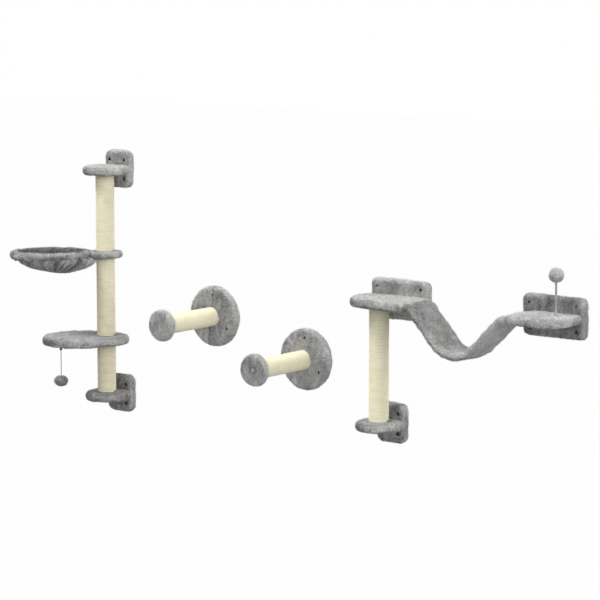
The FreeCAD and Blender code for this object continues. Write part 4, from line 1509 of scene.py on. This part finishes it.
@dataclass
class Step:
    """A sisal peg with a plush cap on a round wall plate."""

    name: str
    x: float
    z: float
    seed: int
    plate_radius: float = 0.110
    plate_depth: float = 0.031
    # Painted light and shade on the whole plate: lighter above 0, darker below.
    plate_tint: float = 0.08
    length: float = 0.320
    cap_radius: float = 0.0565
    cap_depth: float = 0.029
    # Painted light and shade on the whole cap.
    cap_tint: float = 0.0
    cap_hole_depth: float = 0.008
    hole_circle: float = 0.078
    hole_turns: tuple[float, ...] = (90.0, 210.0, 330.0)
    # Where a seam crosses the plate: its place along X at the middle and its lean. None for a whole cloth.
    seam: Spot | None = None
    seam_width: float = 0.0045
    seam_depth: float = 0.006
    dimple_width: float = 0.013
    dimple_depth: float = 0.004

    def across_seam(self, points: np.ndarray) -> np.ndarray:
        """How far each point lies to the right of the seam."""
        place, lean = self.seam
        return points[:, 0] - self.x - place - lean * (points[:, 2] - self.z)

    def groove(self, points: np.ndarray, normals: np.ndarray) -> np.ndarray:
        """Draws the plate's front in along the seam.

        Args:
            points: The plate's points.
            normals: Their normals.

        Returns:
            How far each point moves.
        """
        move = np.zeros_like(points)
        line = np.exp(-(self.across_seam(points) / self.seam_width) ** 2)
        move[:, 1] = self.seam_depth * line * np.clip(-normals[:, 1], 0, 1)
        return move

    def seam_tone(self, points: np.ndarray, normals: np.ndarray) -> np.ndarray:
        """A dark line along the seam, and pile that is brushed another way on its right."""
        away = self.across_seam(points)
        return 0.16 - 0.3 / (1 + np.exp(-away / 0.004)) - 0.7 * np.exp(-(away / 0.0035) ** 2)

    def dimple(self, points: np.ndarray, normals: np.ndarray) -> np.ndarray:
        """Draws the cap in round its bolt.

        Args:
            points: The cap's points.
            normals: Their normals.

        Returns:
            How far each point moves.
        """
        away = np.hypot(points[:, 0] - self.x, points[:, 2] - self.z)
        drawn = self.dimple_depth * np.exp(-(away / self.dimple_width) ** 2)
        move = np.zeros_like(points)
        move[:, 1] = drawn * np.clip(-normals[:, 1], 0, 1)
        return move

    def cap_painted_shading(self, points: np.ndarray, normals: np.ndarray) -> np.ndarray:
        """Painted shade in the cap's dimple, on a cap painted a little lighter."""
        away = np.hypot(points[:, 0] - self.x, points[:, 2] - self.z)
        return 0.1 - 0.5 * np.exp(-(away / 0.012) ** 2)

    def build(self, shop: Workshop) -> None:
        """Makes the plate, the cap and the winding.

        Args:
            shop: The shared trees.
        """
        place = Matrix.Translation((self.x, 0, self.z)) @ ON_WALL
        spots = [on_circle((self.x, self.z), self.hole_circle, turn) for turn in self.hole_turns]
        plate = slab(arc((0.0, 0.0), self.plate_radius - PILE_ROOM, 0, 360), 0.0,
                     self.plate_depth - PILE_ROOM, EDGE_ROUND, BACK_ROUND)
        PlushPiece.covering(
            self.name + "_plate", seed=self.seed, holes=wall_holes(spots, FAINT_HOLE, FAINT_MARGIN),
            tint=self.plate_tint, bare=off_the_wall, shaping=self.groove if self.seam else None,
            tone=self.seam_tone if self.seam else None).build(placed(plate, place), shop.pile)
        start = self.length - self.cap_depth
        cap = slab(arc((0.0, 0.0), self.cap_radius - PILE_ROOM, 0, 360), start + 0.001,
                   self.length - PILE_ROOM, EDGE_ROUND, EDGE_ROUND)
        hole = Hole((self.x, self.cap_hole_depth - self.length, self.z),
                    (self.x, -self.length - CUT_PAST, self.z))
        PlushPiece.covering(
            self.name + "_cap", seed=self.seed + 1, holes=(hole,), tint=self.cap_tint, shaping=self.dimple,
            tone=self.cap_painted_shading).build(placed(cap, place), shop.pile)
        peg = Matrix.Translation((self.x, -self.plate_depth, self.z)) @ ON_WALL
        shop.rope(self.name + "_rope", self.name + "_sisal", peg, start - self.plate_depth, self.seed)


@dataclass
class Bridge:
    """The short post, the two wide shelves and the cloth that hangs between them."""

    x: float = 1.267
    low_z: float = 0.036
    top_z: float = 0.469
    left_plate_x: float = 1.302
    right_plate_x: float = 1.928
    plate_width: float = 0.242
    plate_holes: Spot = (0.184, 0.084)
    plate_corner: float = 0.020
    shelf_radius: float = 0.100
    left_length: float = 0.158
    right_length: float = 0.190
    right_corner: float = 0.080
    cloth_gap: float = 0.425
    cloth_sag: float = 0.149
    cloth_bend: float = 0.100
    cloth_half: float = 0.013
    cloth_back: float = 0.038
    cloth_front: float = 0.192
    # How far the cloth goes on inside each shelf.
    cloth_root: float = 0.010
    # The strip's section: powers of a rounded box across and up, and how much thinner its middle is.
    section_powers: Spot = (0.28, 0.75)
    cloth_hollow: float = 0.16
    # Its folds, at the middle and added at the edges, and its wavy edges: waves in a metre and heights.
    fold_waves: Place = (42.0, 9.0, 42.0)
    fold_heights: Spot = (0.0016, 0.0022)
    edge_waves: Place = (20.0, 3.0, 20.0)
    edge_height: float = 0.004
    # Corners of the cloth's middle line: shares of the gap and of the sag.
    shares: tuple[Spot, ...] = (
        (0.0, 0.0), (0.06, 0.0), (0.368, 0.95), (0.556, 1.019), (0.719, 0.603), (0.93, 0.0), (1.0, 0.0))
    # The pile's painted light and shade at shares of the gap.
    painted_shading_shares: tuple[Spot, ...] = ((0.0, -0.55), (0.35, -0.35), (0.6, 0.25), (0.8, 0.8), (1.0, 0.4))

    @property
    def gap_start(self) -> float:
        """Where the left shelf ends along the wall."""
        return self.x + self.left_length

    @property
    def cloth_middle(self) -> float:
        """Where the cloth's middle lies from the wall."""
        return -(self.cloth_front + self.cloth_back) / 2

    def left_shelf(self) -> bmesh.types.BMesh:
        """The shelf over the post, round at its left end.

        Returns:
            The shelf's form.
        """
        radius = self.shelf_radius - PILE_ROOM
        back = PLATE_DEPTH - SHELF_ROOT
        half = math.sqrt(radius ** 2 - (POST_DISTANCE - back) ** 2)
        start = math.degrees(math.atan2(POST_DISTANCE - back, -half))
        outline = [(self.left_length, -back), (-half, -back),
                   *whole_arc((0.0, -POST_DISTANCE), radius, start, 270)[1:],
                   (self.left_length, -POST_DISTANCE - radius)]
        return shelf_form(outline, Matrix.Translation((self.x, 0, self.top_z)))

    def right_shelf(self) -> bmesh.types.BMesh:
        """The far shelf, with one large rounded corner.

        Returns:
            The shelf's form.
        """
        left = self.gap_start + self.cloth_gap
        right = left + self.right_length - PILE_ROOM
        front = -POST_DISTANCE - self.shelf_radius + PILE_ROOM
        corner = self.right_corner - PILE_ROOM
        back = SHELF_ROOT - PLATE_DEPTH
        outline = [(left, back), (left, front),
                   *whole_arc((right - corner, front + corner), corner, 270, 360), (right, back)]
        return shelf_form(outline, Matrix.Translation((0, 0, self.top_z)))

    def cloth_line(self, count: int) -> list[Vector]:
        """The cloth's middle line with a round bend at each corner.

        Args:
            count: How many points each bend gets.

        Returns:
            The points from left to right.
        """
        root = Vector((self.cloth_root, 0, 0))
        corners = [Vector((self.gap_start + gap * self.cloth_gap, 0.0, self.top_z - sag * self.cloth_sag))
                   for gap, sag in self.shares]
        spots = [corners[0] - root, corners[0]]
        for before, corner, after in zip(corners, corners[1:], corners[2:]):
            back, ahead = before - corner, after - corner
            turn = math.pi - back.angle(ahead)
            bend = min(self.cloth_bend * math.tan(turn / 2), back.length / 2, ahead.length / 2)
            start, end = corner + back.normalized() * bend, corner + ahead.normalized() * bend
            for index in range(count):
                share = (index + 0.5) / count
                spots.append(start * (1 - share) ** 2 + corner * 2 * share * (1 - share) + end * share ** 2)
        return [*spots, corners[-1], corners[-1] + root]

    def hammock(self) -> bmesh.types.BMesh:
        """The thick plush strip, a little fuller along its two edges.

        Returns:
            The strip's form.
        """
        line = self.cloth_line(12)
        half = self.cloth_half - PILE_ROOM
        wide = (self.cloth_front - self.cloth_back) / 2 - PILE_ROOM
        wide_power, thick_power = self.section_powers
        around = 48
        rings = []
        for index, spot in enumerate(line):
            ahead = (line[min(index + 1, len(line) - 1)] - line[max(index - 1, 0)]).normalized()
            out = Vector((-ahead.z, 0.0, ahead.x))
            ring = []
            for step in range(around):
                turn = 2 * math.pi * step / around
                across = math.copysign(abs(math.cos(turn)) ** wide_power, math.cos(turn))
                up = math.copysign(abs(math.sin(turn)) ** thick_power, math.sin(turn))
                full = 1.0 - self.cloth_hollow * (1.0 - abs(across) ** 4)
                side = Vector((0, self.cloth_middle + across * wide, 0))
                ring.append(spot + side + out * (up * half * full))
            rings.append(ring)
        return swept_rings(rings)

    def creases(self, points: np.ndarray, normals: np.ndarray) -> np.ndarray:
        """Folds across the cloth where it bends, deepest at its edges.

        Args:
            points: The cloth's points.
            normals: Their normals.

        Returns:
            How far each point moves.
        """
        share = np.clip((points[:, 0] - self.gap_start) / self.cloth_gap, 0, 1)
        out = points[:, 1] - self.cloth_middle
        side = np.abs(out) / ((self.cloth_front - self.cloth_back) / 2)
        low, added = self.fold_heights
        folds = noise_field(points, self.fold_waves, 3.0) * (low + added * side ** 2)
        edge = noise_field(points, self.edge_waves, 8.0) * self.edge_height * np.clip(side - 0.7, 0, 1) / 0.3
        move = normals * folds[:, None]
        move[:, 1] += np.sign(out) * edge * np.sin(np.pi * share)
        return move

    def cloth_painted_shading(self, points: np.ndarray, normals: np.ndarray) -> np.ndarray:
        """Painted light and shade: the pile is painted darker on the cloth's way down than on its way up."""
        share = (points[:, 0] - self.gap_start) / self.cloth_gap
        return np.interp(share, *zip(*self.painted_shading_shares))

    def build(self, shop: Workshop) -> None:
        """Makes the plates, the shelves, the winding and the cloth.

        Args:
            shop: The shared trees.
        """
        # The low bracket and the right plate are painted darker as shade, the left plate a little lighter as
        # painted light.
        SmallBracket("bridge_low", self.x, self.low_z, post_above=True, seed=61, tint=-0.32).build(shop)
        for side, x, seed, tint in (
                ("left", self.left_plate_x, 63, 0.05), ("right", self.right_plate_x, 64, -0.35)):
            WallPlate(f"bridge_{side}_plate", x, self.top_z, self.plate_width, self.plate_holes,
                      self.plate_corner, seed, tint, FAINT_HOLE, FAINT_MARGIN).build(shop)
        post = Matrix.Translation((self.x, -POST_DISTANCE, self.low_z + SHELF_HALF))
        shop.rope("bridge_rope", "bridge_sisal", post, self.top_z - self.low_z - 2 * SHELF_HALF, 65)
        bolt = shelf_hole(self.x, -POST_DISTANCE, self.top_z, 1)
        toy = shelf_hole(Toy.x, Toy.y, self.top_z, 1)
        for side, form, seed, hole in (
                ("left", self.left_shelf(), 66, bolt), ("right", self.right_shelf(), 67, toy)):
            PlushPiece.covering(f"bridge_{side}_shelf", nap=Nap.RIGHT, seed=seed,
                                holes=(hole,)).build(form, shop.pile)
        PlushPiece("bridge_hammock_plush", "wall_set", ("bridge_hammock",), seed=68, fill=0.5,
                   density=225_000.0, width=0.0012, shaping=self.creases,
                   tone=self.cloth_painted_shading).build(self.hammock(), shop.pile)


@dataclass
class Toy:
    """The ball on a plush-sleeved spring wire."""

    x: float = 1.977
    y: float = -0.092
    stem_start: float = 0.4891
    stem_length: float = 0.104
    sleeve_radius: float = 0.004
    sleeve_room: float = 0.0012
    # How far the sleeve goes on inside the ball.
    sleeve_root: float = 0.004
    radius: float = 0.0245
    room: float = PILE_ROOM + 0.001

    def sleeve_form(self) -> bmesh.types.BMesh:
        """The slightly uneven tube of cloth round the wire.

        Returns:
            The sleeve's form.
        """
        count, around = 40, 12
        rings = []
        for row in range(count):
            level = self.stem_start + (self.stem_length + self.sleeve_root) * row / (count - 1)
            radius = self.sleeve_radius - self.sleeve_room + 0.0003 * noise.noise((0.0, 0.0, level * 120))
            ring = [on_circle((self.x, self.y), radius, 360 / around * step) for step in range(around)]
            rings.append([(*spot, level) for spot in ring])
        return swept_rings(rings)

    def build(self, shop: Workshop) -> None:
        """Makes the sleeve and the ball.

        Args:
            shop: The shared trees.
        """
        PlushPiece("toy_sleeve_plush", "toy", ("toy_sleeve",), finish=BALL_PLUSH, seed=71, voxel=0.0015,
                   ripple=0.0002, pucker=0.0002, length=0.0035, width=0.0006, lift=0.35,
                   density=900_000.0).build(self.sleeve_form(), shop.pile)
        centre = Vector((self.x, self.y, self.stem_start + self.stem_length + self.radius))
        inside = self.radius - self.room
        PlushPiece("toy_ball_plush", "toy", ("toy_ball",), finish=BALL_PLUSH, seed=72, voxel=0.003, lift=0.75,
                   density=480_000.0, fill=1.0).build(globe(centre, inside, inside), shop.pile)


class CarriedNodes:
    """The frame's own solids that stay in the picture."""

    @staticmethod
    def dress() -> None:
        """Gives each solid the finish of its slot."""
        for row in frame["record"]["subparts"]:
            node = frame["nodes"][row["node"]]
            if node.hide_render:
                continue
            finish = FINISHES[row["material_slot"]]
            node.data.materials.clear()
            node.data.materials.append(finish.material())
            LOG.info("%s: kept, with the %s finish", row["node"], finish.slot)


@dataclass
class Studio:
    """The floor, the lamps and the camera."""

    eye: Place = (6.5203, -7.1579, 1.7422)
    yaw: float = 38.42
    pitch: float = 8.21
    lens: float = 156.03
    floor_level: float = -1.6
    floor_size: float = 30.0
    world_light: float = 0.52
    # The main light from the upper left, one from the right, and weak ones from the front and the back:
    # name, direction, strength and spread in degrees.
    lights: tuple[tuple[str, Place, float, float], ...] = (
        ("upper_left", (0.35, 0.6, -1.0), 2.3, 25.0),
        ("right", (-0.95, 0.0, -0.15), 1.3, 50.0),
        ("front_right", (-0.55, 0.75, -0.3), 0.8, 40.0),
        ("behind", (-0.3, -0.9, -0.35), 0.9, 60.0),
    )

    def build(self) -> None:
        """Makes the whole studio."""
        self.camera()
        self.lamps()
        self.world()
        self.floor()
        bpy.context.scene.view_settings.view_transform = "Standard"

    @staticmethod
    def aimed(name: str, data: bpy.types.ID, aim: Vector) -> bpy.types.Object:
        """Adds a camera or a lamp to the scene.

        Args:
            name: Its name.
            data: The camera's or lamp's own data.
            aim: Where it points.

        Returns:
            The new object.
        """
        thing = bpy.data.objects.new(name, data)
        thing.rotation_mode = "QUATERNION"
        thing.rotation_quaternion = aim.to_track_quat("-Z", "Y")
        bpy.context.scene.collection.objects.link(thing)
        return thing

    def camera(self) -> None:
        """Puts the camera where the photograph was taken."""
        yaw, pitch = math.radians(self.yaw), math.radians(self.pitch)
        flat = math.cos(pitch)
        ahead = Vector((-math.sin(yaw) * flat, math.cos(yaw) * flat, -math.sin(pitch)))
        camera = self.aimed("camera", bpy.data.cameras.new("camera"), ahead)
        camera.location = self.eye
        camera.data.lens = self.lens
        camera.data.sensor_width = 36.0
        camera.data.clip_end = 100.0
        bpy.context.scene.camera = camera

    def lamps(self) -> None:
        """Adds the lamps."""
        for name, aim, strength, spread in self.lights:
            lamp = bpy.data.lights.new(name, "SUN")
            lamp.energy = strength
            lamp.angle = math.radians(spread)
            self.aimed(name, lamp, Vector(aim))

    @staticmethod
    def seen(writer: NodeWriter) -> bpy.types.NodeSocket:
        """Tells rays that show the background from rays that carry light.

        Args:
            writer: Writes the tree.

        Returns:
            One for a ray that shows the background.
        """
        path = writer.add("ShaderNodeLightPath").outputs
        first = writer.sum("MAXIMUM", path["Is Camera Ray"], path["Is Glossy Ray"])
        return writer.sum("MAXIMUM", first, path["Is Transmission Ray"])

    def world(self) -> None:
        """White behind the object, and even light from all round."""
        world = bpy.data.worlds.new("studio")
        world.use_nodes = True
        writer = NodeWriter(world.node_tree)
        white = (1.0, 1.0, 1.0, 1.0)
        light = writer.add("ShaderNodeBackground", {"Color": white, "Strength": self.world_light}).outputs[0]
        back = writer.add("ShaderNodeBackground", {"Color": white, "Strength": 1.0}).outputs[0]
        both = writer.add("ShaderNodeMixShader", {0: self.seen(writer), 1: light, 2: back})
        writer.add("ShaderNodeOutputWorld", {"Surface": both.outputs[0]})
        bpy.context.scene.world = world

    def floor(self) -> None:
        """A wide pale floor well below the set, open to a look from underneath."""
        made = bmesh.new()
        bmesh.ops.create_grid(made, x_segments=1, y_segments=1, size=self.floor_size)
        placed(made, Matrix.Translation((1.0, 0.0, self.floor_level)))
        mesh = bpy.data.meshes.new("floor")
        made.to_mesh(mesh)
        made.free()
        pale = bpy.data.materials.new("pale_floor")
        pale.use_nodes = True
        writer = NodeWriter(pale.node_tree)
        matt = writer.add("ShaderNodeBsdfDiffuse", {"Color": (0.3, 0.3, 0.3, 1.0)}).outputs[0]
        white = writer.add("ShaderNodeEmission", {"Color": (1.0, 1.0, 1.0, 1.0), "Strength": 1.0}).outputs[0]
        share = writer.sum("MULTIPLY", self.seen(writer), 0.98)
        both = writer.add("ShaderNodeMixShader", {0: share, 1: matt, 2: white}).outputs[0]
        below = writer.add("ShaderNodeNewGeometry").outputs["Backfacing"]
        clear = writer.add("ShaderNodeBsdfTransparent").outputs[0]
        whole = writer.add("ShaderNodeMixShader", {0: below, 1: both, 2: clear})
        writer.add("ShaderNodeOutputMaterial", {"Surface": whole.outputs[0]})
        mesh.materials.append(pale)
        floor = bpy.data.objects.new("floor", mesh)
        bpy.context.scene.collection.objects.link(floor)


def main() -> None:
    """Builds the modules in order."""
    logging.basicConfig(level=logging.INFO, format="%(name)s %(message)s")
    Studio().build()
    shop = Workshop()
    # The first step's cap is painted lighter and the second's darker, as painted light and shade.
    modules = (
        Pendant(), Tower(), Basket(), Platform(),
        Step("step_one", 0.460, 0.333, 81, seam=(-0.0085, 0.11), cap_tint=0.12),
        Step("step_two", 0.885, 0.218, 91, cap_tint=-0.12), Bridge(), Toy())
    for module in modules:
        module.build(shop)
    CarriedNodes.dress()
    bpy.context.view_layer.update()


if __name__ == "__main__":
    main()
